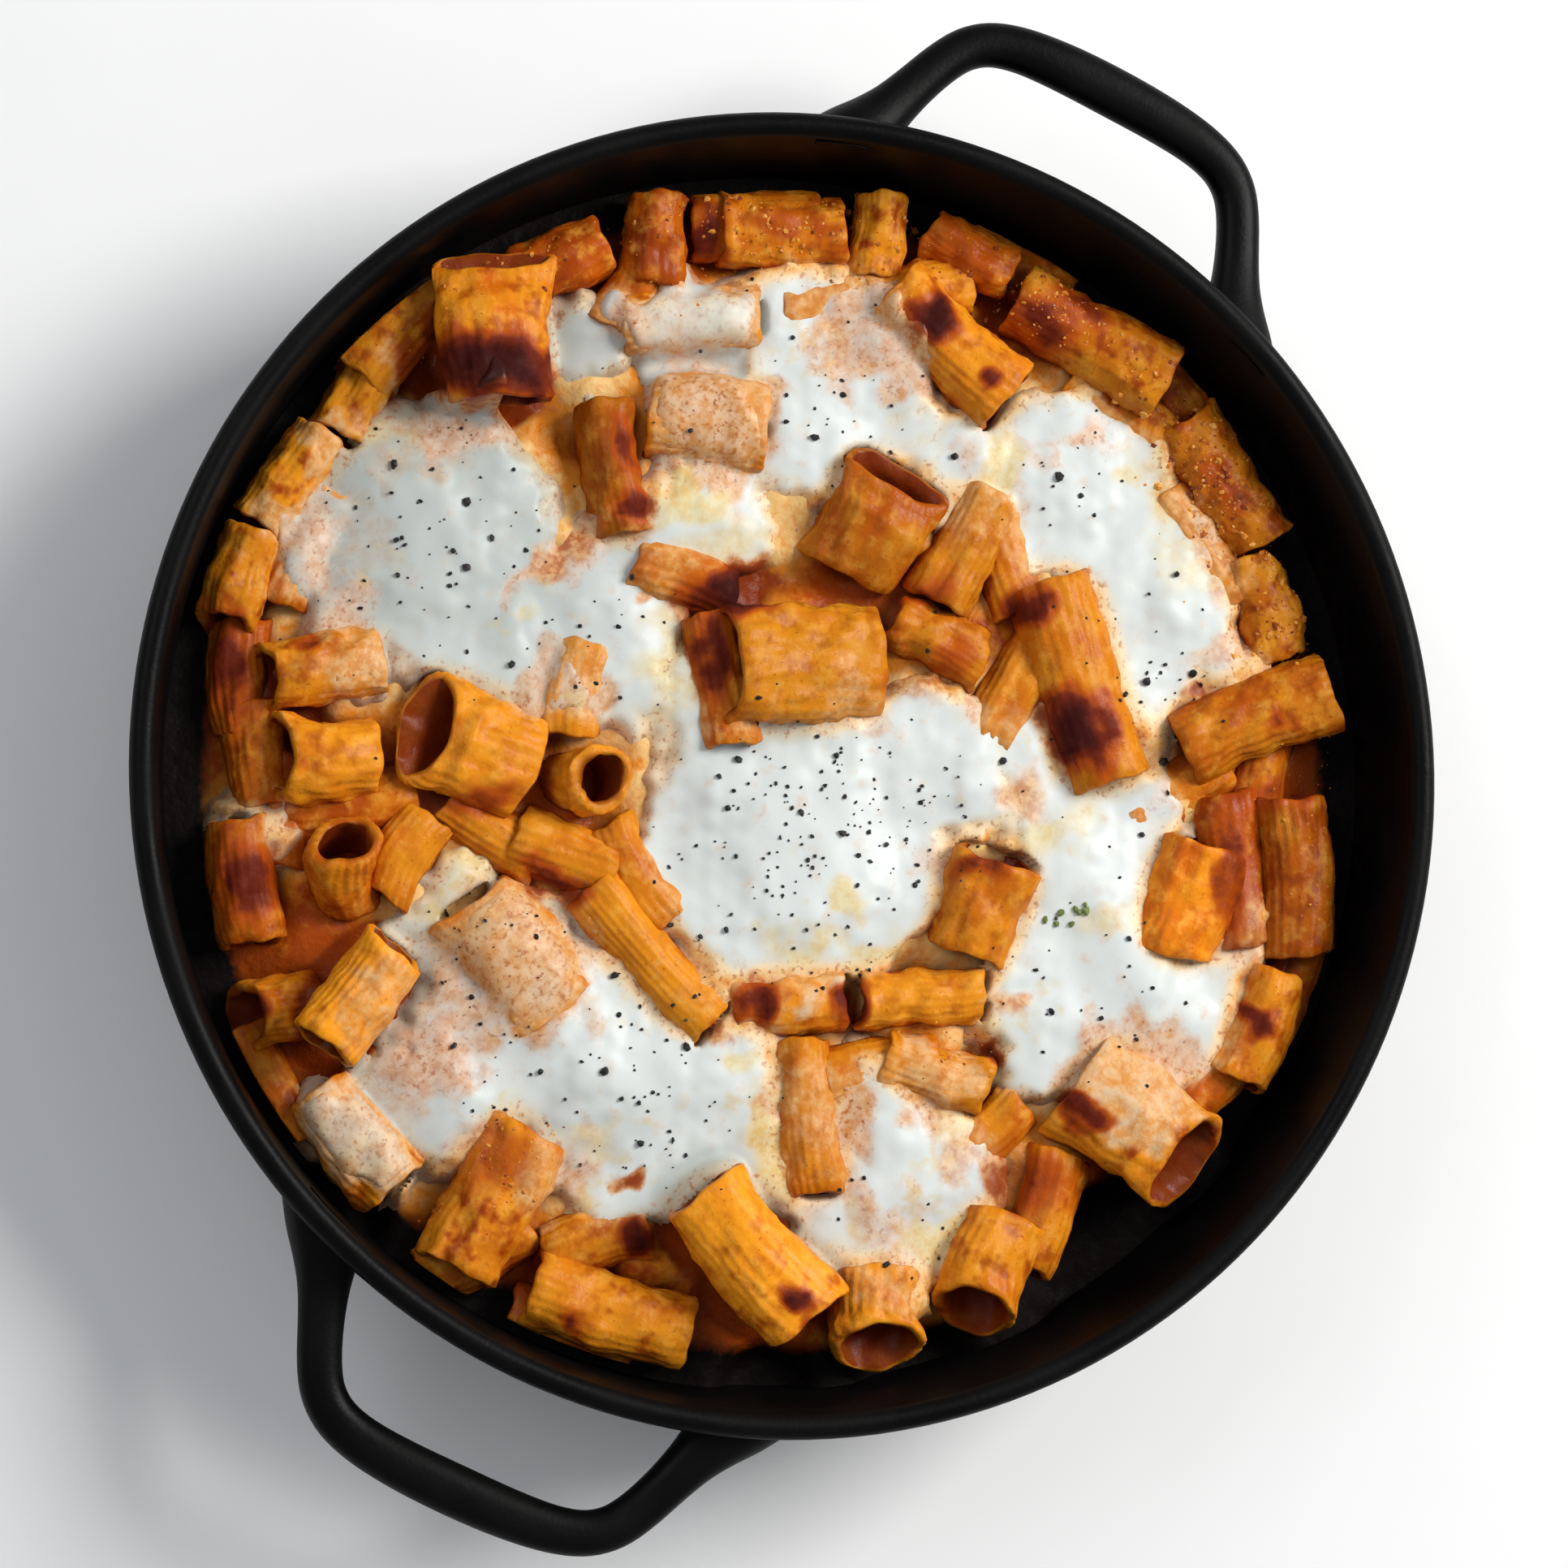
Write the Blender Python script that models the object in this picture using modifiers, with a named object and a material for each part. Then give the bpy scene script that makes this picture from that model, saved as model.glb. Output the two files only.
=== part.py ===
"""Baked rigatoni with melted mozzarella in a black cast-iron pan with two loop handles.

Run with: blender --background --python part.py
Metres, +Z up. The origin is the centre of the pan's underside and the handles lie along X.
"""

from collections import namedtuple
from math import atan2, cos, hypot, radians, sin, tau

import bmesh
import bpy
from mathutils import Vector

mm = 0.001

# Each material's linear RGB, roughness and metallic
FINISHES = {
    "cast_iron": ((0.012, 0.012, 0.013), 0.45, 0.2),
    "sauced_pasta": ((0.75, 0.30, 0.045), 0.4, 0.0),
    "tomato_sauce": ((0.45, 0.09, 0.015), 0.45, 0.0),
    "mozzarella": ((0.82, 0.80, 0.70), 0.35, 0.0),
}
CREASE = radians(35)
SOFT_CREASE = radians(60)
MERGE = 0.01 * mm

# Pan, as cast: a turned bowl with two loop handles
RIM_RADIUS = 130 * mm
PAN_HEIGHT = 56 * mm
FLOOR = 4.5 * mm
LIP_WIDTH = 5 * mm
LIP_DEPTH = 5 * mm
WALL_TOP_RADIUS = RIM_RADIUS - 1.5 * mm
WALL_FOOT_RADIUS = 125 * mm
BASE_RADIUS = 108 * mm
KNEE_HEIGHT = 13 * mm
WALL = 4 * mm
RECESS_RADIUS = 98 * mm
RECESS_DEPTH = 1 * mm
PAN_STEPS = 48
KNEE_STEPS = 3
# The lip's outer roll, from its top to its underside: the angles it runs between, and its steps
LIP_ROLL_FROM = 90
LIP_ROLL_TO = -60
LIP_ROLL_STEPS = 4
# The lip's inner edge: distances out from the lip's inner face and down from the rim
INNER_EDGE = [(2.0 * mm, 0.3 * mm), (0.6 * mm, 1.2 * mm), (0, 3 * mm)]
CUT_ABOVE = 10 * mm

# Loop handles: half of the centreline, from the foot inside the wall to the middle of the grip, as
# (out along X, sideways along Y, scale of the section)
HANDLE_HALF = [
    (110 * mm, 47.5 * mm, 2.3),
    (120 * mm, 43.4 * mm, 1.9),
    (129 * mm, 39.8 * mm, 1.2),
    (141 * mm, 35.0 * mm, 1.0),
    (149 * mm, 30.2 * mm, 1.0),
    (153 * mm, 21.5 * mm, 1.05),
    (154 * mm, 9.0 * mm, 1.15),
]
HANDLE_Z = 45 * mm
HANDLE_WIDTH = 8.6 * mm
HANDLE_THICKNESS = 7.6 * mm
HANDLE_SIDES = 10
HANDLE_RESOLUTION = 2

# Food: a bed bound with sauce, the tubes that lie on it, and the cheese that has run between them
GAP = 0.5 * mm
BED_TOP = 26 * mm
BED_STEPS = 40
BED_RINGS = 7
BED_DIP = 1.2 * mm
BED_MERGE = 0.05 * mm
BED_SKIN = 0.1 * mm
# The waves in the bed's top, in radians a metre, and how strong the slanting ones are
BED_WAVE_X = 75
BED_WAVE_Y = 62
BED_WAVE_SLANT = 120
BED_WAVE_PHASE = 0.6
BED_SLANT_SHARE = 0.6
BED_WAVE_SHARE = 0.3
TUBE_WALL = 2 * mm
TUBE_SIDES = 12
SETTLING_ROUNDS = 300
CHEESE_DEPTH = 11 * mm
CHEESE_SIDES = 24
CHEESE_RINGS = 4
CHEESE_EDGE = 0.3
CHEESE_STEP = 0.5 * mm
CHEESE_HUB = 0.01
# Where along each side of a slice's outline it is tried for room, and how it draws back if there is none
CHEESE_TRIED = (0.25, 0.5, 0.75)
CHEESE_DRAWN_BACK = 0.97

# The food is laid out as the diner sees it: x to the right, y away, and the handles turned by this angle
DINER_TURN = radians(-64.5)

# One rigatoni: its middle, the way its axis points, how far that end is raised, its length, its width
# and thickness where it has slumped flat, and how far it is lifted off the bed; mm and degrees
Tube = namedtuple("Tube", "x y heading raised length width thickness lift")
RIGATONI = [
    # along the far wall, left to right
    Tube(-61, 88, 95, 0, 28, 21, 14, 12.5),
    Tube(-45, 102, 28, 0, 20, 13, 12, 0),
    Tube(-27, 106, 86, 4, 17, 13, 13, 0),
    Tube(0, 110, 0, 0, 25, 14, 12, 0),
    Tube(22, 109, 84, 6, 16, 11, 12, 0),
    Tube(39, 107, -27, 4, 18, 11, 12, 0),
    Tube(64, 90, -29, 4, 34, 16, 15, 0),
    Tube(34, 88, -44, 4, 31, 16, 15, 0),
    Tube(-19, 92, 5, 0, 27, 13, 13, 0),
    # along the right wall, far to near
    Tube(92, 62, 122, 0, 30, 15, 13, 0),
    Tube(101, 36, 108, 0, 21, 13, 12, 0),
    Tube(98, 13, 22, 6, 33, 16, 14, 0),
    Tube(107, -19, 94, 0, 32, 15, 14, 0),
    Tube(99, -50, 68, 0, 23, 13, 13, 0),
    Tube(84, -24, 72, 8, 22, 18, 14, 0),
    # along the near wall, right to left
    Tube(73, -70, -38, 12, 31, 23, 14, 0),
    Tube(42, -101, -112, 8, 22, 17, 14, 0),
    Tube(15, -109, -93, 16, 17, 18, 13, 0),
    Tube(-7, -95, -50, 0, 32, 18, 14, 12.5),
    Tube(-35, -106, -17, 0, 32, 15, 14, 0),
    Tube(-58, -84, 63, 0, 30, 17, 14, 0),
    Tube(-85, -72, -50, 0, 24, 15, 13, 0),
    # along the left wall, near to far
    Tube(-100, -47, 190, 4, 17, 13, 13, 0),
    Tube(-85, -44, 53, 0, 24, 14, 14, 14.7),
    Tube(-107, -22, 98, 0, 24, 13, 13, 0),
    Tube(-88, -19, 100, 55, 15, 14, 14, 0),
    Tube(-92, 3, 180, 9, 22, 17, 15, 0),
    Tube(-93, 20, 190, 6, 24, 14, 13, 0),
    Tube(-108, 36, 74, 0, 20, 12, 13, 0),
    Tube(-101, 57, 55, 0, 22, 12, 12, 0),
    Tube(-86, 73, 62, 0, 19, 12, 12, 0),
    # across the middle, far to near
    Tube(-16, 71, -4, 5, 23, 18, 13, 0),
    Tube(-34, 61, -80, 0, 26, 12, 13, 0),
    Tube(18, 50, 62, 20, 24, 21, 13, 0),
    Tube(37, 46, 62, 0, 24, 14, 13, 0),
    Tube(30, 29, -24, 0, 20, 12, 12, 0),
    Tube(61, 20, -71, 0, 42, 17, 15, 0),
    Tube(2, 23, 184, 12, 35, 23, 14, 0),
    Tube(-64, 5, 160, 14, 25, 21, 14, 0),
    Tube(-42, -1, 0, 70, 14, 13, 13, 0),
    Tube(-26, -36, -48, 0, 36, 12, 12, 0),
    Tube(-54, -36, -52, 0, 27, 20, 13, 0),
    Tube(40, -27, 72, 8, 21, 17, 15, 0),
    Tube(-1, -46, 2, 4, 22, 12, 12, 0),
    Tube(29, -43, 2, 0, 25, 12, 12, 0),
    Tube(5, -68, -85, 0, 30, 13, 12, 0),
    Tube(31, -58, -15, 4, 21, 12, 12, 0),
]

# Where each slice of mozzarella was laid and how far it has run, in mm: x, y, radius
SLICES = [
    (-73, 46, 27),
    (-37, 29, 22),
    (10, 73, 19),
    (62, 60, 25),
    (78, 36, 20),
    (3, -13, 31),
    (34, 4, 16),
    (62, -36, 32),
    (-66, -62, 16),
    (-29, -62, 26),
    (22, -80, 24),
]


def material(name):
    """One of the finishes as a Principled material."""
    colour, roughness, metallic = FINISHES[name]
    made = bpy.data.materials.new(name)
    made.use_nodes = True
    shader = made.node_tree.nodes["Principled BSDF"]
    shader.inputs["Base Color"].default_value = (*colour, 1)
    shader.inputs["Roughness"].default_value = roughness
    shader.inputs["Metallic"].default_value = metallic
    made.diffuse_color = (*colour, 1)
    return made


def collection(name):
    made = bpy.data.collections.new(name)
    bpy.context.scene.collection.children.link(made)
    return made


def new_object(name, data, into, finish=None):
    """An object in a collection, with its material."""
    obj = bpy.data.objects.new(name, data)
    into.objects.link(obj)
    if finish:
        data.materials.append(finish)
    return obj


def as_helper(obj):
    """A cutter or guide: not part of the model."""
    obj.hide_render = True
    obj.display_type = "WIRE"
    return obj


def mesh_from(bm, name, crease):
    """A mesh data block from bmesh, shaded smooth except where it folds by more than the crease."""
    mesh = bpy.data.meshes.new(name)
    bm.to_mesh(mesh)
    bm.free()
    mesh.shade_smooth()
    mesh.set_sharp_from_angle(angle=crease)
    return mesh


def arc(centre_r, centre_z, radius_r, radius_z, start, end, steps):
    """Points of an elliptical arc in the (radius, height) plane, both ends included; degrees."""
    points = []
    for i in range(steps + 1):
        angle = radians(start + (end - start) * i / steps)
        points.append((centre_r + radius_r * cos(angle), centre_z + radius_z * sin(angle)))
    return points


def wall_radius(z):
    """The outer radius of the pan's straight wall at a height."""
    share = (z - KNEE_HEIGHT) / (PAN_HEIGHT - LIP_DEPTH - KNEE_HEIGHT)
    return WALL_FOOT_RADIUS + (WALL_TOP_RADIUS - WALL_FOOT_RADIUS) * share


def turned(name, profile, steps, into):
    """A solid of revolution: the profile is (radius, height) from the axis, over the top and down."""
    mesh = bpy.data.meshes.new(name)
    corners = [(r, 0, z) for r, z in profile]
    mesh.from_pydata(corners, [(i, i + 1) for i in range(len(corners) - 1)], [])
    obj = new_object(name, mesh, into)
    screw = obj.modifiers.new("Turn", "SCREW")
    screw.steps = screw.render_steps = steps
    screw.use_merge_vertices = True
    screw.merge_threshold = MERGE
    return obj


def pan_outside():
    """Profile of the solid pan before it is hollowed, running down its outer side."""
    half_width, half_depth = LIP_WIDTH / 2, LIP_DEPTH / 2
    lip_r, lip_z = RIM_RADIUS - half_width, PAN_HEIGHT - half_depth
    lip = arc(lip_r, lip_z, half_width, half_depth, LIP_ROLL_FROM, LIP_ROLL_TO, LIP_ROLL_STEPS)
    knee_width = WALL_FOOT_RADIUS - BASE_RADIUS
    knee = arc(BASE_RADIUS, KNEE_HEIGHT, knee_width, KNEE_HEIGHT, 0, -90, KNEE_STEPS)
    recess = [
        (RECESS_RADIUS, 0),
        (RECESS_RADIUS - RECESS_DEPTH, RECESS_DEPTH),
        (0, RECESS_DEPTH),
    ]
    return [(0, PAN_HEIGHT), *lip, *knee, *recess]


def pan_inside(clearance=0.0):
    """Profile of the pan's inner face from the foot of its wall to the middle of its floor."""
    foot = WALL_FOOT_RADIUS - WALL - clearance
    knee_width = foot - (BASE_RADIUS - WALL)
    knee_height = KNEE_HEIGHT - FLOOR
    floor = FLOOR + clearance
    knee = arc(foot - knee_width, KNEE_HEIGHT, knee_width, knee_height - clearance, 0, -90, KNEE_STEPS)
    return [*knee, (0, floor)]


def pan_cavity():
    """Profile of what is hollowed out of the pan, running down past the rolled inner edge of its lip."""
    above = PAN_HEIGHT + CUT_ABOVE
    inner_lip = RIM_RADIUS - LIP_WIDTH
    edge = [(inner_lip + out, PAN_HEIGHT - down) for out, down in INNER_EDGE]
    return [(0, above), (edge[0][0], above), *edge, *pan_inside()]


def handle_section(into):
    """The handle's cross-section: a flattened round, as a guide curve for the bevel."""
    curve = bpy.data.curves.new("handle_section", "CURVE")
    spline = curve.splines.new("POLY")
    spline.points.add(HANDLE_SIDES - 1)
    for i, point in enumerate(spline.points):
        angle = tau * (i + 0.5) / HANDLE_SIDES
        point.co = (HANDLE_WIDTH / 2 * cos(angle), HANDLE_THICKNESS / 2 * sin(angle), 0, 1)
    spline.use_cyclic_u = True
    return as_helper(new_object("handle_section", curve, into))


def handle(name, side, section, into):
    """One loop handle as a closed mesh; side is +1 or -1 along X."""
    half = [(side * x, y, scale) for x, y, scale in HANDLE_HALF]
    middle = [(side * HANDLE_HALF[-1][0], 0, HANDLE_HALF[-1][2])]
    route = half + middle + [(x, -y, scale) for x, y, scale in reversed(half)]
    curve = bpy.data.curves.new(name + "_line", "CURVE")
    curve.dimensions = "3D"
    curve.resolution_u = HANDLE_RESOLUTION
    curve.bevel_mode = "OBJECT"
    curve.bevel_object = section
    curve.use_fill_caps = True
    spline = curve.splines.new("BEZIER")
    spline.bezier_points.add(len(route) - 1)
    for point, (x, y, scale) in zip(spline.bezier_points, route):
        point.co = (x, y, HANDLE_Z)
        point.radius = scale
        point.handle_left_type = point.handle_right_type = "AUTO"
    line = new_object(name + "_line", curve, into)
    graph = bpy.context.evaluated_depsgraph_get()
    mesh = bpy.data.meshes.new_from_object(line.evaluated_get(graph))
    bm = bmesh.new()
    bm.from_mesh(mesh)
    bmesh.ops.remove_doubles(bm, verts=bm.verts, dist=MERGE)
    bmesh.ops.recalc_face_normals(bm, faces=bm.faces)
    bm.to_mesh(mesh)
    bm.free()
    loop = new_object(name, mesh, into)
    loop.matrix_world = line.matrix_world
    bpy.data.objects.remove(line)
    return as_helper(loop)


def combine(obj, other, operation):
    cut = obj.modifiers.new(operation.title() + "_" + other.name, "BOOLEAN")
    cut.operation = operation
    cut.object = other
    cut.solver = "EXACT"


def build_pan(into, helpers, finish):
    """The cast-iron pan: a turned body and its handles, hollowed together so that no foot shows inside."""
    body = turned("pan", pan_outside(), PAN_STEPS, into)
    body.data.materials.append(finish)
    section = handle_section(helpers)
    for name, side in (("handle_right", 1), ("handle_left", -1)):
        combine(body, handle(name, side, section, helpers), "UNION")
    cavity = as_helper(turned("pan_cavity", pan_cavity(), PAN_STEPS, helpers))
    combine(body, cavity, "DIFFERENCE")
    return body


def bed_height(x, y):
    """The bed's top is uneven, and dips below its nominal height."""
    square = sin(x * BED_WAVE_X + BED_WAVE_PHASE) * cos(y * BED_WAVE_Y)
    waves = square + BED_SLANT_SHARE * sin((x + y) * BED_WAVE_SLANT)
    return BED_TOP - BED_DIP * (0.5 + BED_WAVE_SHARE * waves)


def build_bed(into, finish):
    """Pasta and sauce under the top layer, filling the pan up to the bed's height."""
    outer = wall_radius(BED_TOP) - WALL - 2 * GAP
    top = [(outer * i / BED_RINGS, BED_TOP) for i in range(BED_RINGS + 1)]
    profile = top + pan_inside(2 * GAP)
    bm = bmesh.new()
    line = [bm.verts.new((r, 0, z)) for r, z in profile]
    edges = [bm.edges.new(pair) for pair in zip(line, line[1:])]
    bmesh.ops.spin(
        bm, geom=line + edges, cent=(0, 0, 0), axis=(0, 0, 1), angle=tau, steps=BED_STEPS, use_merge=True
    )
    bmesh.ops.remove_doubles(bm, verts=bm.verts, dist=BED_MERGE)
    bmesh.ops.recalc_face_normals(bm, faces=bm.faces)
    for vert in bm.verts:
        if vert.co.z > BED_TOP - BED_SKIN:
            vert.co.z = bed_height(vert.co.x, vert.co.y)
    return new_object("pasta_bed", mesh_from(bm, "pasta_bed", SOFT_CREASE), into, finish)


def outline(tube):
    """A tube's outline as seen from above: its two axes, each with half the outline's size, in mm."""
    heading, raised = radians(tube.heading), radians(tube.raised)
    half_length = (tube.length * cos(raised) + tube.thickness * sin(raised)) / 2
    along = (cos(heading), sin(heading))
    across = (-sin(heading), cos(heading))
    return (along, half_length), (across, tube.width / 2)


def heights(tube):
    """The lowest and the highest point of a tube, in mm."""
    raised = radians(tube.raised)
    reach = tube.thickness / 2 * cos(raised) + tube.length / 2 * sin(raised)
    lowest = (BED_TOP + GAP) / mm + tube.lift
    return lowest, lowest + 2 * reach


def push_apart(one, other):
    """The shortest move, in mm, that takes the first tube's outline clear of the other's."""
    low, high = heights(one)
    other_low, other_high = heights(other)
    if low >= other_high + GAP / mm or other_low >= high + GAP / mm:
        return None
    sides = (*outline(one), *outline(other))
    best = None
    for axis, _ in sides:
        reach = sum(half * abs(side[0] * axis[0] + side[1] * axis[1]) for side, half in sides)
        apart = (one.x - other.x) * axis[0] + (one.y - other.y) * axis[1]
        depth = reach + GAP / mm - abs(apart)
        if depth <= 0:
            return None
        if best is None or depth < best[0]:
            best = (depth, axis, 1 if apart > 0 else -1)
    depth, axis, way = best
    return way * depth * axis[0], way * depth * axis[1]


def push_from_wall(tube):
    """The move, in mm, that brings a tube's outermost corner back inside the pan's wall."""
    (along, half_length), (across, half_width) = outline(tube)
    lowest = heights(tube)[0] * mm
    limit = (wall_radius(lowest) - WALL - 2 * GAP) / mm
    worst = 0.0
    move = (0.0, 0.0)
    for end in (-half_length, half_length):
        for side in (-half_width, half_width):
            x = tube.x + end * along[0] + side * across[0]
            y = tube.y + end * along[1] + side * across[1]
            beyond = hypot(x, y) - limit
            if beyond > worst:
                worst = beyond
                move = (-beyond * x / hypot(x, y), -beyond * y / hypot(x, y))
    return move


def settled(tubes):
    """The tubes nudged apart until no outline overlaps another or the pan's wall."""
    tubes = list(tubes)
    for _ in range(SETTLING_ROUNDS):
        moved = False
        for i, one in enumerate(tubes):
            for j in range(i):
                push = push_apart(one, tubes[j])
                if push is None:
                    continue
                moved = True
                other = tubes[j]
                weight = (one.length * one.width) ** 2
                other_weight = (other.length * other.width) ** 2
                share = other_weight / (weight + other_weight)
                one = one._replace(x=one.x + push[0] * share, y=one.y + push[1] * share)
                rest = 1 - share
                tubes[j] = other._replace(x=other.x - push[0] * rest, y=other.y - push[1] * rest)
            dx, dy = push_from_wall(one)
            moved = moved or dx != 0 or dy != 0
            tubes[i] = one._replace(x=one.x + dx, y=one.y + dy)
        if not moved:
            break
    return tubes


def build_tube(name, tube, into, finish, view):
    """One hollow rigatoni, flattened, lying along its heading with its front end raised."""
    bm = bmesh.new()
    bmesh.ops.create_cone(
        bm, segments=TUBE_SIDES, radius1=0.5, radius2=0.5, depth=1, cap_ends=False
    )
    for vert in bm.verts:
        across, up, along = vert.co
        vert.co = Vector((along * tube.length, across * tube.width, up * tube.thickness)) * mm
    bmesh.ops.recalc_face_normals(bm, faces=bm.faces)
    obj = new_object(name, mesh_from(bm, name, CREASE), into, finish)
    shell = obj.modifiers.new("Wall", "SOLIDIFY")
    shell.thickness = TUBE_WALL
    shell.offset = -1
    shell.use_even_offset = True
    obj.parent = view
    obj.location = Vector((tube.x, tube.y, sum(heights(tube)) / 2)) * mm
    obj.rotation_euler = (0, -radians(tube.raised), radians(tube.heading))
    return obj


def clear_of_tube(x, y, tube):
    """How far a point in mm lies outside a tube's outline as seen from above; zero is inside."""
    (along, half_length), (across, half_width) = outline(tube)
    dx, dy = x - tube.x, y - tube.y
    beyond_end = abs(dx * along[0] + dy * along[1]) - half_length
    beyond_side = abs(dx * across[0] + dy * across[1]) - half_width
    return hypot(max(beyond_end, 0), max(beyond_side, 0))


def room_for_slice(number, x, y, tubes):
    """Whether a slice can run to a point in mm: clear of tubes, the wall and where other slices run."""
    spare = 2 * GAP / mm
    if hypot(x, y) > (wall_radius(BED_TOP) - WALL) / mm - spare:
        return False
    if any(clear_of_tube(x, y, tube) < spare for tube in tubes):
        return False
    own_x, own_y, own_radius = SLICES[number]
    beyond = hypot(x - own_x, y - own_y) - own_radius
    for other, (other_x, other_y, radius) in enumerate(SLICES):
        if other != number and hypot(x - other_x, y - other_y) - radius < beyond + spare:
            return False
    return True


def slice_reach(number, tubes):
    """How far a slice has run in each direction, in mm, until something stopped it."""
    x, y, radius = SLICES[number]
    turns = [tau * i / CHEESE_SIDES for i in range(CHEESE_SIDES)]
    reach = []
    for turn in turns:
        out = 0.0
        while out < radius and room_for_slice(number, x + out * cos(turn), y + out * sin(turn), tubes):
            out += CHEESE_STEP / mm
        reach.append(out)
    blocked = True
    while blocked:
        blocked = False
        for i, turn in enumerate(turns):
            start = reach[i - 1] * cos(turns[i - 1]), reach[i - 1] * sin(turns[i - 1])
            end = reach[i] * cos(turn), reach[i] * sin(turn)
            for share in CHEESE_TRIED:
                along_x = start[0] + (end[0] - start[0]) * share
                along_y = start[1] + (end[1] - start[1]) * share
                if not room_for_slice(number, x + along_x, y + along_y, tubes):
                    blocked = True
                    reach[i] *= CHEESE_DRAWN_BACK
                    reach[i - 1] *= CHEESE_DRAWN_BACK
                    break
    return reach


def build_slice(name, number, tubes, into, finish, view):
    """One slice of melted mozzarella: a ball pressed flat that fills the room between the tubes."""
    reach = slice_reach(number, tubes)
    bm = bmesh.new()
    bmesh.ops.create_uvsphere(bm, u_segments=CHEESE_SIDES, v_segments=CHEESE_RINGS, radius=1)
    for vert in bm.verts:
        x, y, z = vert.co
        flat = hypot(x, y)
        turn = round(atan2(y, x) / tau * CHEESE_SIDES) % CHEESE_SIDES
        out = reach[turn] * flat ** CHEESE_EDGE if flat > CHEESE_HUB else 0
        vert.co.x = out * mm * cos(tau * turn / CHEESE_SIDES)
        vert.co.y = out * mm * sin(tau * turn / CHEESE_SIDES)
        vert.co.z = CHEESE_DEPTH / 2 * z
    obj = new_object(name, mesh_from(bm, name, SOFT_CREASE), into, finish)
    obj.parent = view
    x, y, _ = SLICES[number]
    obj.location = (x * mm, y * mm, BED_TOP + GAP + CHEESE_DEPTH / 2)
    return obj


def main():
    for obj in list(bpy.data.objects):
        bpy.data.objects.remove(obj, do_unlink=True)
    model = collection("baked_rigatoni")
    helpers = collection("cutters")
    iron = material("cast_iron")
    pasta = material("sauced_pasta")
    sauce = material("tomato_sauce")
    cheese = material("mozzarella")
    view = bpy.data.objects.new("diners_view", None)
    view.rotation_euler = (0, 0, DINER_TURN)
    model.objects.link(view)
    build_pan(model, helpers, iron)
    build_bed(model, sauce)
    tubes = settled(RIGATONI)
    for number in range(len(SLICES)):
        build_slice(f"mozzarella_{number + 1:02d}", number, tubes, model, cheese, view)
    for number, tube in enumerate(tubes, 1):
        build_tube(f"rigatoni_{number:02d}", tube, model, pasta, view)


main()
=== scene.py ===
"""Looks of the baked rigatoni in its cast-iron pan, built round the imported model.

Lengths are in metres unless a name or comment says mm. The food is laid out as the diner sees it:
x to the right, y away, turned by DINER_TURN from the model's own axes.
"""

from math import atan, cos, pi, radians, sin, tan

import bmesh
import bpy
import numpy as np
from mathutils import Matrix, Vector
from mathutils.bvhtree import BVHTree


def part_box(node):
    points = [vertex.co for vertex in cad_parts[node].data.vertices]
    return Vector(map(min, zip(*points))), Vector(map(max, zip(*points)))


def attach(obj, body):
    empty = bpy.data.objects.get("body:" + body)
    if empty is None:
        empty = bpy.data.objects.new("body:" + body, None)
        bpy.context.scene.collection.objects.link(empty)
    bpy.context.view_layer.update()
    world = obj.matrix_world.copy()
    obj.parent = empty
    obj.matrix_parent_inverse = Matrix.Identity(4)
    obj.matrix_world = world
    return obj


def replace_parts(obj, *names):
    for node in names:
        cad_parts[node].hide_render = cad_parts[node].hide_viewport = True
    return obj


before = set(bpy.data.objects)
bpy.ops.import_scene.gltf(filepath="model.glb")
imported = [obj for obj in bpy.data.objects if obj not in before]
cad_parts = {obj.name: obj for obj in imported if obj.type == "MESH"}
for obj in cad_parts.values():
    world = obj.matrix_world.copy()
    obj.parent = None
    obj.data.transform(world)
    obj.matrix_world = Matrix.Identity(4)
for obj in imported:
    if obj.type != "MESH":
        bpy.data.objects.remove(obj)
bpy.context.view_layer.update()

mm = 0.001
DINER_TURN = radians(-64.5)
TO_WORLD = np.array(
    [[cos(DINER_TURN), -sin(DINER_TURN), 0], [sin(DINER_TURN), cos(DINER_TURN), 0], [0, 0, 1]]
)
rng = np.random.default_rng(20)

# Pan
_, PAN_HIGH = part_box("pan")
RIM_RADIUS = PAN_HIGH.y
PAN_HEIGHT = PAN_HIGH.z
WALL = 4 * mm
LIP_WIDTH = 5 * mm
WALL_FOOT_RADIUS = 125 * mm
WALL_TOP_RADIUS = RIM_RADIUS - 1.5 * mm
KNEE_HEIGHT = 13 * mm
BASE_RADIUS = 108 * mm
RECESS_RADIUS = 98 * mm
RECESS_DEPTH = 1 * mm
FLOOR = 4.5 * mm
HANDLE_LINE = [
    (112, 46.7, 2.2), (120, 43.4, 1.85), (125, 41.5, 1.4), (130, 39.5, 1.12), (136, 37.2, 1),
    (142, 34.7, 0.98), (147.5, 31.6, 0.98), (151.2, 27, 1), (153.2, 20, 1.05), (154, 10, 1.12),
    (154.1, 0, 1.15),
]
HANDLE_Z = 45 * mm
HANDLE_WIDTH = 8.8 * mm
HANDLE_THICKNESS = 7.8 * mm

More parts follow.
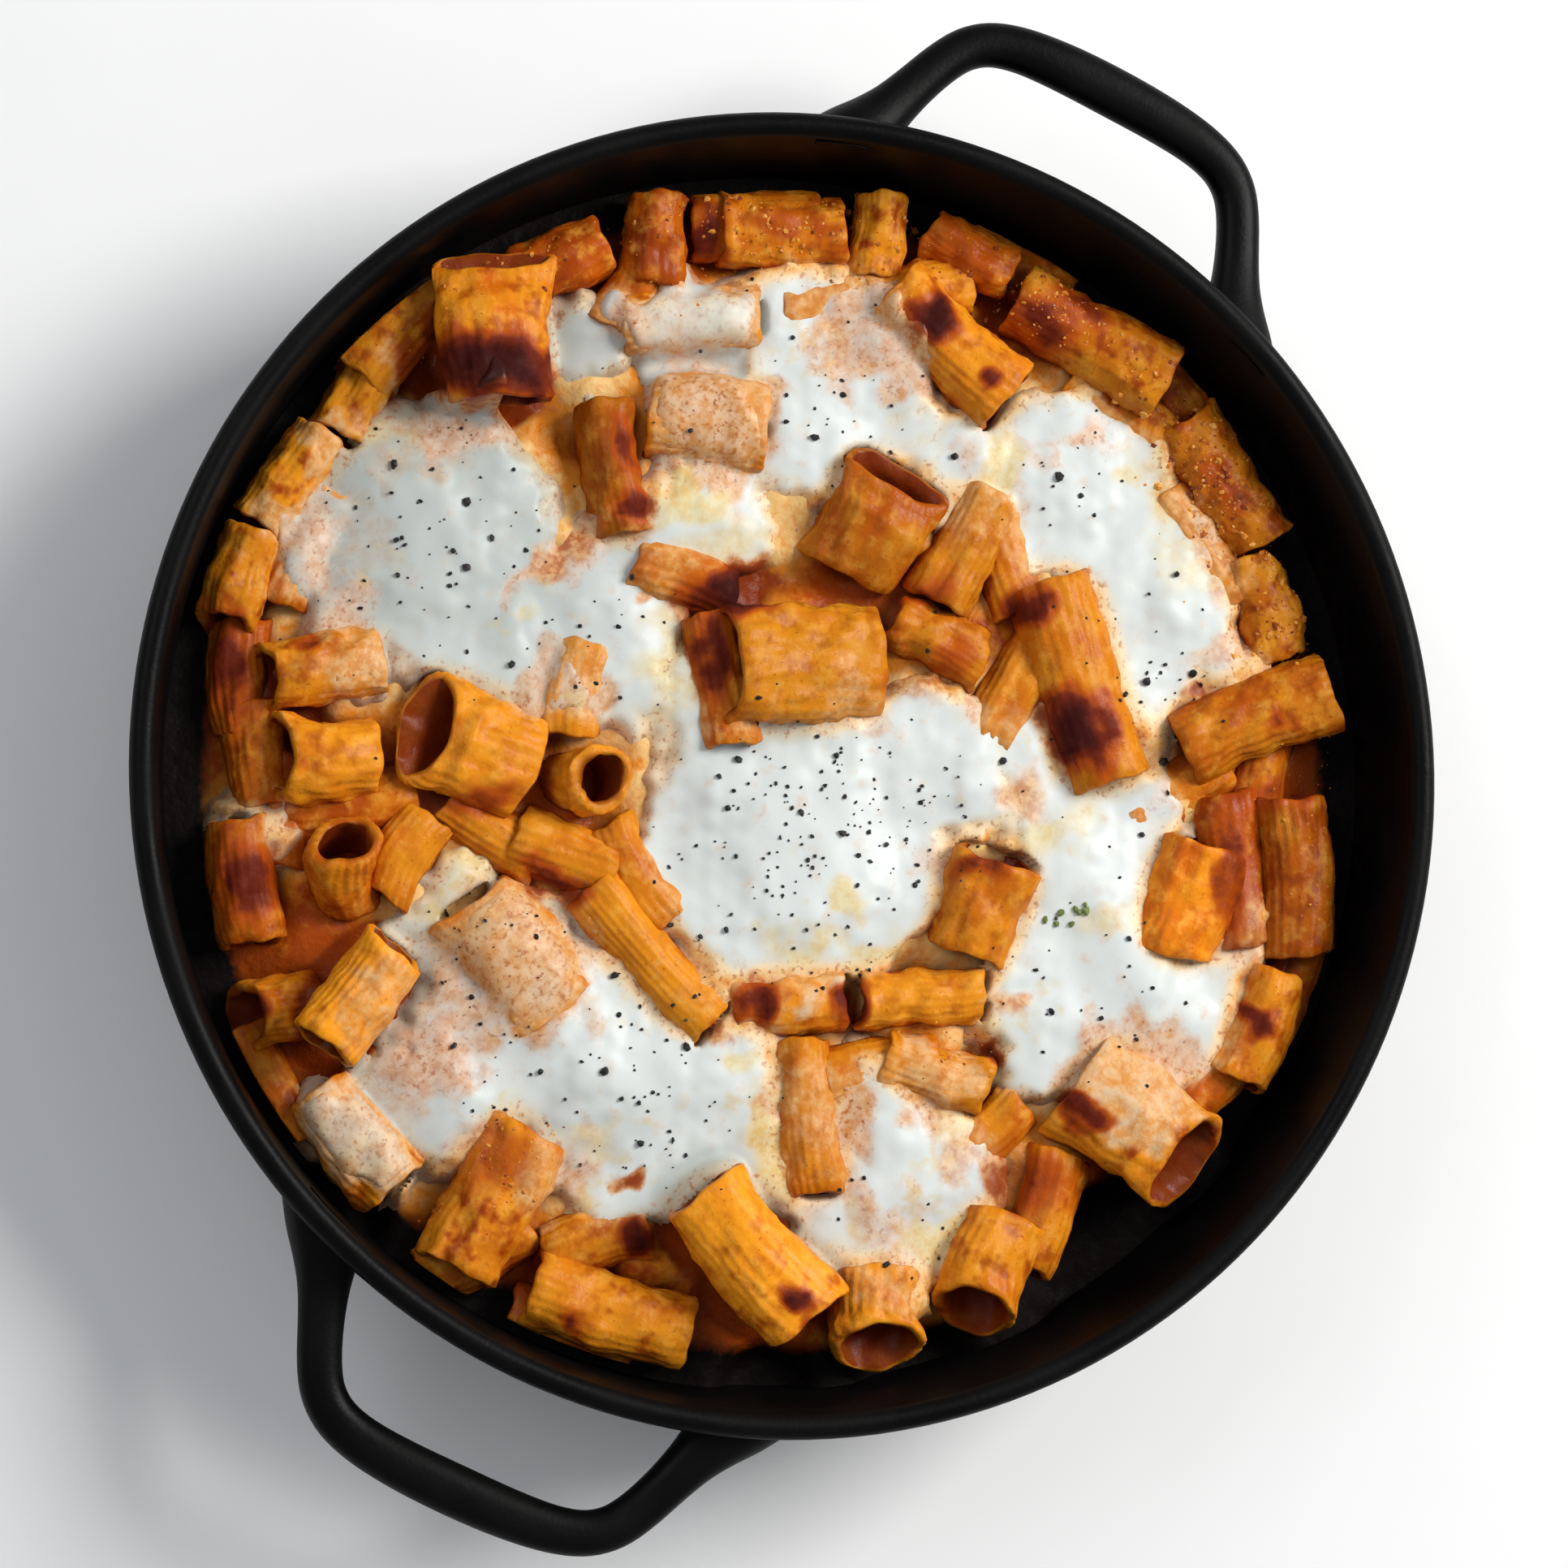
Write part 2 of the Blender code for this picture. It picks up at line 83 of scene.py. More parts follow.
# Rigatoni 1 to 47: how red (-1) to golden (1) it has baked, None where that is left to chance; how bright
# it is; how much lumpier and less ridged a baked crust makes it; how much cheese clings to it
BAKED = [
    (0.2, 1, 1, 0.4), (-1.3, 1, 1.4, 0.3), (-1.2, 0.85, 1.5, 0.2), (-0.05, 0.95, 1.5, 0.9),
    (0.6, 0.94, 1.3, 0.9), (-0.7, 1, 1.6, 0.5), (0, 0.84, 1.4, 0.3), (0.3, 1, 1, 0.5), (None, 1, 1.3, 1.1),
    (-0.1, 0.86, 2.2, 0.5), (0.4, 0.85, 2, 0.9), (-0.2, 0.8, 1.2, 0.3), (-0.6, 0.7, 1, 0.1),
    (0.2, 1, 1, 0.9), (-0.2, 1.25, 1.3, 0.1), (0.6, 0.95, 1.4, 1.1), (0.4, 0.95, 1, 0.1), (0.5, 1, 1, 0.9),
    (1.1, 1.18, 1, 0.7), (0.4, 0.93, 1, 0.9), (0.2, 1, 1.7, 0.7), (None, 1, 1, 1.1), (None, 1, 1, 0.9),
    (0.9, 1.25, 1, 0.6), (-0.6, 0.85, 1, 0.9), (-0.1, 1, 1, 0.9), (0.5, 1, 1.3, 1.2), (0.3, 0.9, 1.3, 0.9),
    (0.3, 0.9, 1.3, 0.9), (1.4, 1.02, 1.5, 0.9), (1.3, 0.9, 1.5, 0.9), (None, 1, 1, 0.8),
    (-0.4, 0.62, 1.6, 0.9), (-0.3, 0.74, 1, 0.4), (None, 0.8, 1.3, 0.9), (None, 0.8, 1.6, 0.9),
    (0.2, 0.88, 1, 0.3), (0.6, 0.8, 1.6, 0.6), (0.7, 0.98, 1.3, 1), (0.6, 1.05, 1.3, 0.9),
    (0.7, 0.93, 1, 0.4), (None, 1, 1, 0.85), (0.1, 0.9, 1.5, 0.05), (0.2, 1.05, 1.5, 1.2),
    (0.6, 0.95, 1.5, 1.1), (None, 0.86, 1.4, 0.6), (0.5, 0.9, 1.7, 0.8),
]
# Tubes with one end pressed into a slit: the share of its thickness that is left
PINCHED = {1: 0.4, 34: 0.5, 39: 0.65, 16: 0.8}
# Ends cut on the slant, to show from above: direction in degrees, how far the top is cut back in mm
OPENINGS = {
    1: (95, 2.5), 16: (-38, 8.5), 17: (-112, 6), 18: (-93, 6), 23: (190, 5), 24: (140, 3), 27: (180, 5.5),
    28: (190, 3), 29: (254, 3), 34: (62, 5), 38: (184, 5), 39: (160, 7), 43: (72, 2),
}
# Tubes of the layer below, where they show: x, y, heading in degrees, length, width, height of the top, tone
# The tube at (94, -18) has the darkest tone as painted shade, beside the tube to its right
SUNK = [
    (28, 99, 10, 22, 13, 37.5, 0.9), (54, -87, 70, 24, 14, 36, -0.2), (-37, -92, 15, 20, 13, 36.5, 0.3),
    (-44, -16, -20, 20, 13, 38, 0.4), (-76, -17, 60, 18, 12, 38.5, 0.3), (40, -73, 40, 22, 13, 36, 0.2),
    (-104, 3, 100, 20, 13, 36, -0.6), (-42, 17, 80, 18, 13, 38, 0.6), (-86, -6, 10, 26, 13, 36, -0.5),
    (-102, -62, 120, 24, 13, 34, -0.3), (-95, 44, 60, 24, 13, 36, 0.1), (88, 48, 120, 26, 13, 36.5, 0.3),
    (72, 76, -35, 26, 14, 36, 0.2), (48, 18, 60, 24, 13, 37, 0.1), (46, 46, -70, 24, 13, 36.5, 0),
    (-78, 88, 52, 26, 15, 41, 0.6), (12, 98, 10, 24, 13, 36, -0.2), (82, -2, 30, 24, 13, 35.5, -0.2),
    (20, -58, 10, 22, 12, 37, 0.1), (88, -62, 50, 22, 13, 35, -0.5), (-5, 112, 5, 26, 13, 36.5, 0),
    (-58, -12, -30, 22, 12, 36.5, 0.1), (-98, -8, 90, 22, 12, 35, -0.6),
    (-108, 18, 90, 22, 12, 34.5, -0.8), (30, -74, -60, 18, 11, 36, 0.1),
    (-42, -110, -20, 26, 13, 33, -0.6), (100, 0, 80, 22, 13, 35, -0.6), (-12, -78, 30, 20, 12, 34.6, 0.1),
    (50, 106, -35, 24, 13, 34, -0.6), (80, 84, -50, 22, 13, 33.5, -0.6), (106, -42, 70, 20, 12, 33, -0.8),
    (-30, 98, 60, 20, 12, 37, -0.5), (-20, 40, -20, 20, 13, 38, 0), (-60, -94, 30, 22, 13, 34, -0.2),
    (94, -18, 97, 30, 14, 37.5, -1.5), (-30, -20, -60, 22, 12, 37, 0.1), (66, 12, -80, 22, 12, 35.5, 0),
    (-13, 19, 100, 26, 12, 40.5, -0.4),
]
SUNK_SHADE = SUNK_CLINGING = 0.9

# Cheese: where each slice lay and how far it ran, in mm
SLICES = [
    (-73, 46, 27), (-54, 28, 18), (-36, 32, 18), (-42, 88, 9), (-40, 84, 8), (2, 92, 13), (10, 74, 21),
    (-14, 54, 14), (-26, 48, 10), (40, 62, 16), (60, 60, 22), (76, 40, 21), (74, 20, 14), (3, -13, 32),
    (28, 0, 20), (-8, 14, 16), (62, -12, 18), (66, -38, 30), (84, -50, 14), (88, -30, 12), (-66, -60, 17),
    (-64, -32, 14), (-29, -62, 27), (-8, -50, 12), (-4, -72, 13), (22, -82, 23), (22, -98, 10),
    (-103, -11, 6), (18, -66, 12), (-84, -72, 12), (-50, -44, 18), (16, 88, 14), (-20, -82, 9),
    (52, 8, 10), (76, -4, 10), (-88, 24, 9), (-92, 40, 10), (-30, 14, 9), (94, 24, 8),
]
# Where cheese still lies over the tubes: x, y, reach and thickness in mm (under 0.5 it only stains them),
# and how tan it has baked
COVERED = [
    (-18, 87, 15, 2.2, 0.2), (-26, 90, 9, 2, 0.3), (-15, 69, 13, 1.8, 0.85), (16, 89, 12, 1.8, 0.6),
    (-55, -37, 17, 1.6, 0.65), (-85, -70, 12, 1.9, 0.4), (-46, -80, 9, 0.45, 0.5), (5, -66, 11, 0.45, 0.9),
    (-46, 18, 8, 1.2, 0.8), (32, -60, 10, 0.45, 0.8), (-64, 68, 9, 2.1, 0.45), (44, 64, 9, 1.6, 0.3),
    (-90, 43, 13, 1.7, 0.4), (-82, 20, 6, 1.2, 0.6), (20, -90, 8, 1.4, 0.5), (72, -62, 15, 0.45, 0.6),
    (-76, 66, 8, 1.6, 0.5), (86, 56, 8, 0.45, 0.8), (-93, 65, 7, 0.45, 0.15), (-104, 47, 6, 0.45, 0.3),
    (-78, 80, 5, 0.45, 0.2), (-81, -48, 12, 0.45, 0.5), (6, -46, 6, 0.45, 0.5), (13, 15, 7, 0.45, 0.4),
    (-79, -78, 7, 1.7, 0.3), (-66, -54, 9, 1.8, 0.5), (26, 84, 7, 1.6, 0.6),
]
# Browned and charred places, the ones at (92, -18) and (-44, 44) also painted shade at a tube's edge: x, y,
# half sizes in mm, strength, direction in degrees if it isn't 0
CHARS = [
    (-60, 78, 15, 6.8, 1, -8), (-74, 80, 7, 5, 0.5), (41, 80.5, 3.4, 3.2, 0.75),
    (30, 92, 5.6, 5.2, 0.95, 15), (37, 107, 10, 6, 0.35, -25), (52, 93, 9, 5, 0.65, -25),
    (60, 96, 8, 3, 0.6, -25), (60, 10, 9, 7, 1, -60), (50, 34, 6, 4.5, 0.75, 30), (28, 37, 7, 4, 0.5),
    (-9, 37, 13, 5.5, 0.95, 14), (-15, 24, 4, 11, 0.7), (-30, 53, 4.5, 4, 0.75), (-33, 65, 3.5, 8, 0.6, 10),
    (-5, -45, 5, 5, 0.85, 20), (13.5, -45.5, 4, 4.5, 0.8), (-1, -103, 4.2, 3.6, 0.85),
    (97, -49, 4, 3.5, 0.75), (60, -67, 6, 3.6, 0.75, -15), (-29, -92, 5, 3.5, 0.9),
    (-43, -108, 3, 2.4, 0.7), (-31, -80, 3.2, 2.4, 0.7), (-107, -47, 5, 4, 0.8), (2, -108, 3, 2, 0.5),
    (43, -55, 2.2, 3, 0.9), (92, -18, 5, 16, 0.55), (-16, 108, 4, 8, 0.85, 5), (-44, 44, 13, 4, 0.35, 40),
    (22, 20, 8, 5, 0.3), (86, 18, 3, 2.5, 0.6), (100, 12, 2.5, 2, 0.6), (-60, -6, 10, 4, 0.45, 10),
    (48, -80, 9, 8, 0.6), (-106, -22, 7, 9, 0.7), (33, 24, 8, 5, 0.4, 20), (-46, -22, 8, 4, 0.65, -30),
    (39, -18, 7, 3.5, 0.6, 10), (-112, 20, 6, 12, 0.8), (90, 62, 5, 9, 0.45, 30), (-96, 25, 3, 3, 0.5),
    (104, -2, 12, 4, 0.5, 20), (3, 111, 14, 4, 0.35), (62, 4, 6, 5, 0.5), (-58, -75, 11, 9, 0.3),
    (-14, -52, 3, 4, 0.5, 30), (91, 63, 2.5, 2.5, 0.6), (94, 57, 2, 3, 0.6),
]
# Where oil, sauce and a pink-brown baked skin have coloured the cheese, given in the same way; the oil at
# (-24, 22) and (47, 20) and the sauce at (-43, 48) are painted shadow beside tubes
STAINS = {
    "oil": [
        (-19, 54, 8, 5, 1), (-12, 46, 10, 4, 0.7, 15), (-24, 22, 6, 12, 0.7), (44, 63, 4, 10, 0.9, -10),
        (73, 64, 5, 4, 0.7), (80, 57, 5, 8, 0.6), (84, 44, 7, 8, 0.6), (47, 20, 4, 12, 0.8),
        (-65, -17, 8, 5, 0.9), (-67, -28, 6, 9, 0.6), (-38, -73, 9, 3, 0.6, -30), (-43, -84, 9, 4, 0.6),
        (-8, -58, 3, 3, 0.8), (5, -62, 7, 9, 0.8), (-3, -75, 4, 11, 1, 15), (54, -12, 6, 5, 0.8),
        (13, -24, 4, 3, 0.9), (4, -34, 8, 4, 0.8), (18, -35, 9, 3, 0.9), (64, -29, 7, 3, 0.6),
        (32, -92, 9, 4, 1, 20), (14, -88, 3, 6, 0.6), (13, 36, 6, 6, 0.7), (36, -70, 5, 5, 0.7),
        (-47, 64, 8, 6, 0.5), (-80, 66, 8, 4, 0.6), (60, -8, 7, 4, 0.5), (40, -50, 6, 3, 0.6),
    ],
    "sauce": [
        (-43, 48, 10, 3, 0.4, 48), (-26, 38, 2.5, 2.5, 1), (-48, 72, 7, 4, 0.8), (30, 22, 9, 5, 0.8),
        (14, 17, 13, 2.5, 0.7), (-14, -48, 5, 4, 0.7), (49, -3, 6, 5, 0.8), (47, -13, 3, 3, 0.7),
        (36, -75, 4, 6, 0.8), (12, -58, 6, 5, 0.7), (46, -45, 3.5, 3, 0.9), (-32, 50, 6, 6, 0.7),
        (66, -60, 12, 3, 0.5), (80, 66, 4, 8, 0.7, 20), (90, 44, 4, 8, 0.7, 20), (10, 88, 3, 4, 0.6),
    ],
    "pink": [
        (-52, 39, 6, 2.5, 0.8, 50), (-38, 44, 9, 4, 0.8, 40), (-66, 67, 13, 4, 0.9), (-94, 44, 6, 10, 0.8),
        (-88, 28, 7, 9, 0.8), (63, 70, 6, 4, 1), (93, 27, 11, 3, 0.8, 22), (12, 92, 5, 8, 0.6),
        (26, 84, 9, 4, 0.7, -30), (40, 13, 4, 3, 1), (3, 40, 6, 6, 0.9), (-72, -57, 10, 7, 0.9),
        (-31, 92, 3, 6, 0.9), (75, -57, 13, 3, 0.7), (96, -33, 4, 8, 0.7), (8, -79, 5, 8, 0.6),
        (-33, -18, 2.5, 5, 0.8), (-46, -80, 5, 4, 0.8), (30, -18, 3, 4, 0.8), (-16, 83, 12, 2, 0.5, 4),
        (-48, 22, 4, 5, 0.5), (80, -2, 5, 6, 0.5),
    ],
}
# Larger grains of pepper, in mm: x, y, size
PEPPERCORNS = [
    (-9.5, 3, 2), (-13.5, -0.5, 1.7), (10.5, 4, 1.8), (11.5, -11.5, 1.8), (56.5, 61.5, 2.4), (6, 68, 2.2),
    (-55, 21, 2), (-36.5, -59, 2), (-34, -40, 2.3), (0, 71, 1.6), (-78.5, 60, 2.1), (-64, 53, 1.8),
    (-78, 45, 1.7), (81, 42, 1.8), (75, 20, 2), (85, 22, 2.1), (54.5, -47, 1.8), (20, -97, 2),
    (-64, 40, 1.7), (45, 3.5, 1.7), (-20, -54, 1.8), (74, -11, 1.4), (-29, -73, 1.6), (79, 4, 2),
    (35, 65, 1.6), (-20, 68, 1.4), (-17, 85, 1.3), (-31, 39, 1.8), (-59, 46, 1.5), (-67, -28, 1.5),
    (-66, -54, 1.7), (-49, -59, 1.5), (28, -5, 1.2), (-23, -30, 1.5), (-12, -31, 1.5),
]
# Where fine pepper fell, in mm: x, y, spread, grains
PEPPERED = [
    (3, -12, 24, 150), (30, 0, 12, 26), (-72, 42, 24, 70), (-26, -62, 20, 60), (62, -38, 22, 26),
    (60, 56, 20, 22), (78, 24, 12, 28), (12, 74, 16, 22), (-40, 28, 12, 16), (-62, -32, 12, 26),
    (20, -86, 16, 8), (-18, 88, 12, 9), (-60, -60, 9, 9), (0, 0, 100, 90),
]
# Golden crumbs along the wall: the sector in degrees, how far in they spread, sizes in mm, how many
CRUMBS = [
    (-15, 110, 9, 0.4, 1, 260), (14, 50, 9, 0.6, 2.4, 200), (58, 104, 7, 0.5, 2, 150),
    (104, 135, 5, 0.5, 1.5, 60),
]
# Crumbs baked on in patches: x, y, half sizes, direction in degrees, sizes in mm, how many
CRUST = [
    (88, 62, 13, 6, -62, 0.5, 1.7, 190), (103, 33, 9, 4, -75, 0.5, 1.5, 70),
    (54, 95, 13, 5, -30, 0.4, 1.4, 110), (-4, 108, 14, 5, 0, 0.4, 1.4, 90),
    (34, -52, 9, 7, 0, 0.4, 1.2, 50), (-58, -78, 12, 8, 50, 0.4, 1.3, 70),
]
# Places where no sauce is left between the pasta and the wall: x, y, radius, all in mm
BARE = [(72, -96, 17), (60, -97, 12), (30, -122, 12), (-2, -122, 9), (-88, -88, 10), (104, -66, 12)]
# Heights and radii of the food, in mm
BED_LEVEL = 32.0
CHEESE_LEVEL = 35.8
LOWEST_CHEESE = 24.0
CHEESE_RADIUS = 115
SUNK_RADIUS = 120.3
CRUMB_RADIUS = 117
PEPPER_RADIUS = 112
HERB_PLACE = (58, -26)

# Numbers and fields


def smoothstep(low, high, value):
    share = np.clip((value - low) / (high - low), 0, 1)
    return share * share * (3 - 2 * share)


def smooth_max(a, b, blend):
    """The larger of two fields, rounded over where they cross."""
    share = np.clip(0.5 + 0.5 * (a - b) / blend, 0, 1)
    return b + (a - b) * share + blend * share * (1 - share)


def ripples(x, y, size, seed, count=12):
    """Smooth noise of about unit strength whose features are about the given size."""
    local = np.random.default_rng(seed)
    total = 0.0
    for _ in range(count):
        turn = local.uniform(0, 2 * pi)
        wave = 2 * pi / (size * local.uniform(1.2, 3.2))
        total += np.sin((x * cos(turn) + y * sin(turn)) * wave + local.uniform(0, 2 * pi))
    return total / np.sqrt(count / 2)


def powered(value, power):
    """A value from -1 to 1 raised to a power, with its sign kept."""
    return np.sign(value) * np.abs(value) ** power


def blurred(field, cells):
    """Gaussian blur of a square field, by a standard deviation in cells."""
    reach = int(3 * cells) + 1
    kernel = np.exp(-0.5 * (np.arange(-reach, reach + 1) / cells) ** 2)
    kernel /= kernel.sum()
    padded = np.pad(field, reach, mode="edge")
    rows = sum(k * padded[i : i + field.shape[0], :] for i, k in enumerate(kernel))
    return sum(k * rows[:, i : i + field.shape[1]] for i, k in enumerate(kernel))


def wavy(x, y, strength, size, seed):
    """Places moved about by smooth noise."""
    return x + strength * ripples(x, y, size, seed), y + strength * ripples(x, y, size, seed + 1)


def spots(places, x, y, low, high):
    """How strongly a place in mm is marked, from 0 to 1; each mark fades from high to low half sizes."""
    strongest = 0.0
    for cx, cy, half_x, half_y, strength, *turned in places:
        turn = radians(turned[0]) if turned else 0
        c, s = cos(turn), sin(turn)
        dx, dy = x - cx, y - cy
        away = np.hypot((dx * c + dy * s) / half_x, (dy * c - dx * s) / half_y)
        strongest = np.maximum(strongest, strength * smoothstep(low, high, away))
    return strongest


def cheese_supply(x, y):
    """How far inside the melted cheese a place in mm is; negative is outside."""
    warp_x, warp_y = wavy(x, y, 1.6, 9, 41)
    warp_x, warp_y = warp_x + 0.6 * ripples(x, y, 3, 43), warp_y + 0.6 * ripples(x, y, 3, 44)
    inside = -50.0
    for cx, cy, radius in SLICES:
        inside = smooth_max(inside, radius - np.hypot(warp_x - cx, warp_y - cy), 4.0)
    return inside


def cheese_cover(x, y):
    """Thickness of the cheese that still lies over the tubes at a place in mm, and how tan it is."""
    film = tan = 0.0
    warp_x, warp_y = wavy(x, y, 2.0, 6, 51)
    for cx, cy, radius, thickness, baked in COVERED:
        away = np.hypot(warp_x - cx, warp_y - cy) / radius
        film = np.maximum(film, thickness * smoothstep(1.15, 0.6, away))
        tan = np.maximum(tan, baked * smoothstep(1.3, 0.8, away))
    return film * smoothstep(121, 116, np.hypot(x, y)), tan


# The grid over the food, in mm

CELL = 0.8
HALF_CELLS = 157
WALL_RADIUS = 122.7
OUTSIDE = -60.0


def grid_axes():
    line = np.arange(-HALF_CELLS, HALF_CELLS + 1) * CELL
    return np.meshgrid(line, line, indexing="ij")


def joined(shapes):
    """The points and faces of several shapes as one."""
    starts = np.cumsum([0] + [len(shape["points"]) for shape in shapes])
    points = np.vstack([shape["points"] for shape in shapes])
    return points, np.vstack([shape["faces"] + start for shape, start in zip(shapes, starts)])


def pull_inside(points, radius):
    """Moves points that lie outside a radius straight in to it."""
    points[:, :2] /= np.maximum(np.hypot(points[:, 0], points[:, 1]) / radius, 1)[:, None]


def look_up(field, x, y):
    """Values of a grid field at places in mm, between its points."""
    last = 2 * HALF_CELLS - 0.001
    u, v = (np.clip(np.asarray(place) / CELL + HALF_CELLS, 0, last) for place in (x, y))
    i, j = u.astype(int), v.astype(int)
    a, b = u - i, v - j
    near = field[i, j] * (1 - b) + field[i, j + 1] * b
    far = field[i + 1, j] * (1 - b) + field[i + 1, j + 1] * b
    return near * (1 - a) + far * a


def tops_of(solids, x, y):
    """Height in mm of the highest of these solids over each grid point, OUTSIDE where there is none.

    Also 1 where what shows there is the inside of a tube, and 0 elsewhere.
    """
    points, faces = joined(solids)
    inside = np.concatenate([solid["inner"][solid["faces"][:, 0]] for solid in solids])
    tree = BVHTree.FromPolygons(points.tolist(), faces.tolist())
    found = np.full(x.shape, OUTSIDE)
    opening = np.zeros(x.shape)
    for i, j in np.argwhere(np.hypot(x, y) < WALL_RADIUS + 2):
        hit, _, face, _ = tree.ray_cast(Vector((x[i, j], y[i, j], 100.0)), Vector((0, 0, -1)))
        if hit is not None:
            found[i, j] = hit.z
            opening[i, j] = inside[face] > 0.4
    return found, opening


def bareness(x, y):
    """1 in the places where no sauce or cheese is left at the wall, 0 elsewhere."""
    bare = 0.0
    for cx, cy, radius in BARE:
        bare = np.maximum(bare, smoothstep(1.3, 0.6, np.hypot(x - cx, y - cy) / radius))
    return bare


def bed_surface(x, y):
    """The sauce and melted cheese between the tubes, in mm; it sinks towards the wall."""
    reach = np.hypot(x, y)
    calm = smoothstep(118, 102, reach)
    level = BED_LEVEL + (0.9 * ripples(x, y, 9, 61) + 0.4 * ripples(x, y, 4, 62)) * calm
    return level - 4.5 * smoothstep(96, 116, reach) - 6.0 * bareness(x, y)


def cheese_surface(supply, cover, tops, bed, x, y):
    """The cheese's top: pools between the tubes, drawn up their sides and over those it still covers."""
    level = CHEESE_LEVEL + 0.9 * ripples(x, y, 18, 71) + 0.12 * ripples(x, y, 6, 72)
    level += 1.8 * smoothstep(4, 22, supply) - 9.0 * (1 - np.sqrt(smoothstep(-5.0, 4.0, supply)))
    gone = 25.0 * smoothstep(-4, -8, supply)
    ground = np.maximum(tops, bed)
    drawn = np.minimum(blurred(ground, 2.8) - 1.5, level + 4.5) - 6.5 * smoothstep(3.0, -3.0, supply)
    over = np.maximum(blurred(ground, 1.1), blurred(ground, 2.4) - 1.2) - 1.0 + cover - 30.0 * (cover < 0.5)
    return smooth_max(smooth_max(level, drawn, 3.0) - gone, over, 1.4)


# Meshes


def new_object(name, data):
    made = bpy.data.objects.new(name, data)
    bpy.context.scene.collection.objects.link(made)
    return made


def as_piece(name, mesh, finish, slot, **numbers):
    """A mesh as a piece riding on the part, with one number per vertex for each name."""
    for key, values in numbers.items():
        layer = mesh.attributes.new(key, "FLOAT", "POINT")
        layer.data.foreach_set("value", np.asarray(values, np.float32).ravel())
    mesh.materials.clear()
    mesh.materials.append(finish)
    piece = new_object(name, mesh)
    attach(piece, "root")
    return piece


def make_piece(name, points, faces, finish, slot, smooth=True, **numbers):
    """A piece through points given in the diner's frame in mm."""
    mesh = bpy.data.meshes.new(name)
    mesh.from_pydata((points @ TO_WORLD.T * mm).tolist(), [], faces.tolist())
    mesh.update()
    if smooth:
        mesh.shade_smooth()
    return as_piece(name, mesh, finish, slot, **numbers)


def ring_faces(rings, around, closed):
    """Quads between successive rings of points; closed joins the last ring to the first."""
    pairs = rings if closed else rings - 1
    row = np.repeat(np.arange(pairs), around)
    col = np.tile(np.arange(around), pairs)
    nxt = (col + 1) % around
    up = (row + 1) % rings
    return np.stack([row * around + col, row * around + nxt, up * around + nxt, up * around + col], 1)


def capped_faces(rings, around):
    """Quads between successive rings of points, and a cap at each end."""
    last = (rings - 1) * around
    caps = [list(range(around))[::-1], list(range(last, last + around))]
    return ring_faces(rings, around, False).tolist() + caps


def sheet_piece(name, heights, keep, coarse, finish, slot, **numbers):
    """A sheet through every coarse-th grid point, over the cells whose corners are all kept."""
    x, y = grid_axes()
    x, y, heights, keep = (field[::coarse, ::coarse] for field in (x, y, heights, keep))

    def corners(field):
        return field[:-1, :-1], field[1:, :-1], field[1:, 1:], field[:-1, 1:]

    full = np.all(corners(keep), 0) & np.any(corners(np.hypot(x, y) < WALL_RADIUS), 0)
    index = np.arange(x.size).reshape(x.shape)
    faces = np.stack([corner[full] for corner in corners(index)], 1)
    used = np.unique(faces)
    renumber = np.zeros(x.size, int)
    renumber[used] = np.arange(len(used))
    points = np.stack([x.ravel(), y.ravel(), heights.ravel()], 1)[used]
    pull_inside(points, WALL_RADIUS)
    values = {key: field[::coarse, ::coarse].ravel()[used] for key, field in numbers.items()}
    return make_piece(name, points, renumber[faces], finish, slot, **values)


# Materials

# Noise stays within about 0.4 of its middle; this stretches that to about 1
NOISE_SWING = 2.5
# How ragged the edge of a charred place is
CHAR_RAGGED = 0.16
# Dark red of sauce in the ridges' grooves, also used as painted shade where the pasta lies low
SAUCE_AND_SHADE = (0.46, 0.085, 0.004)


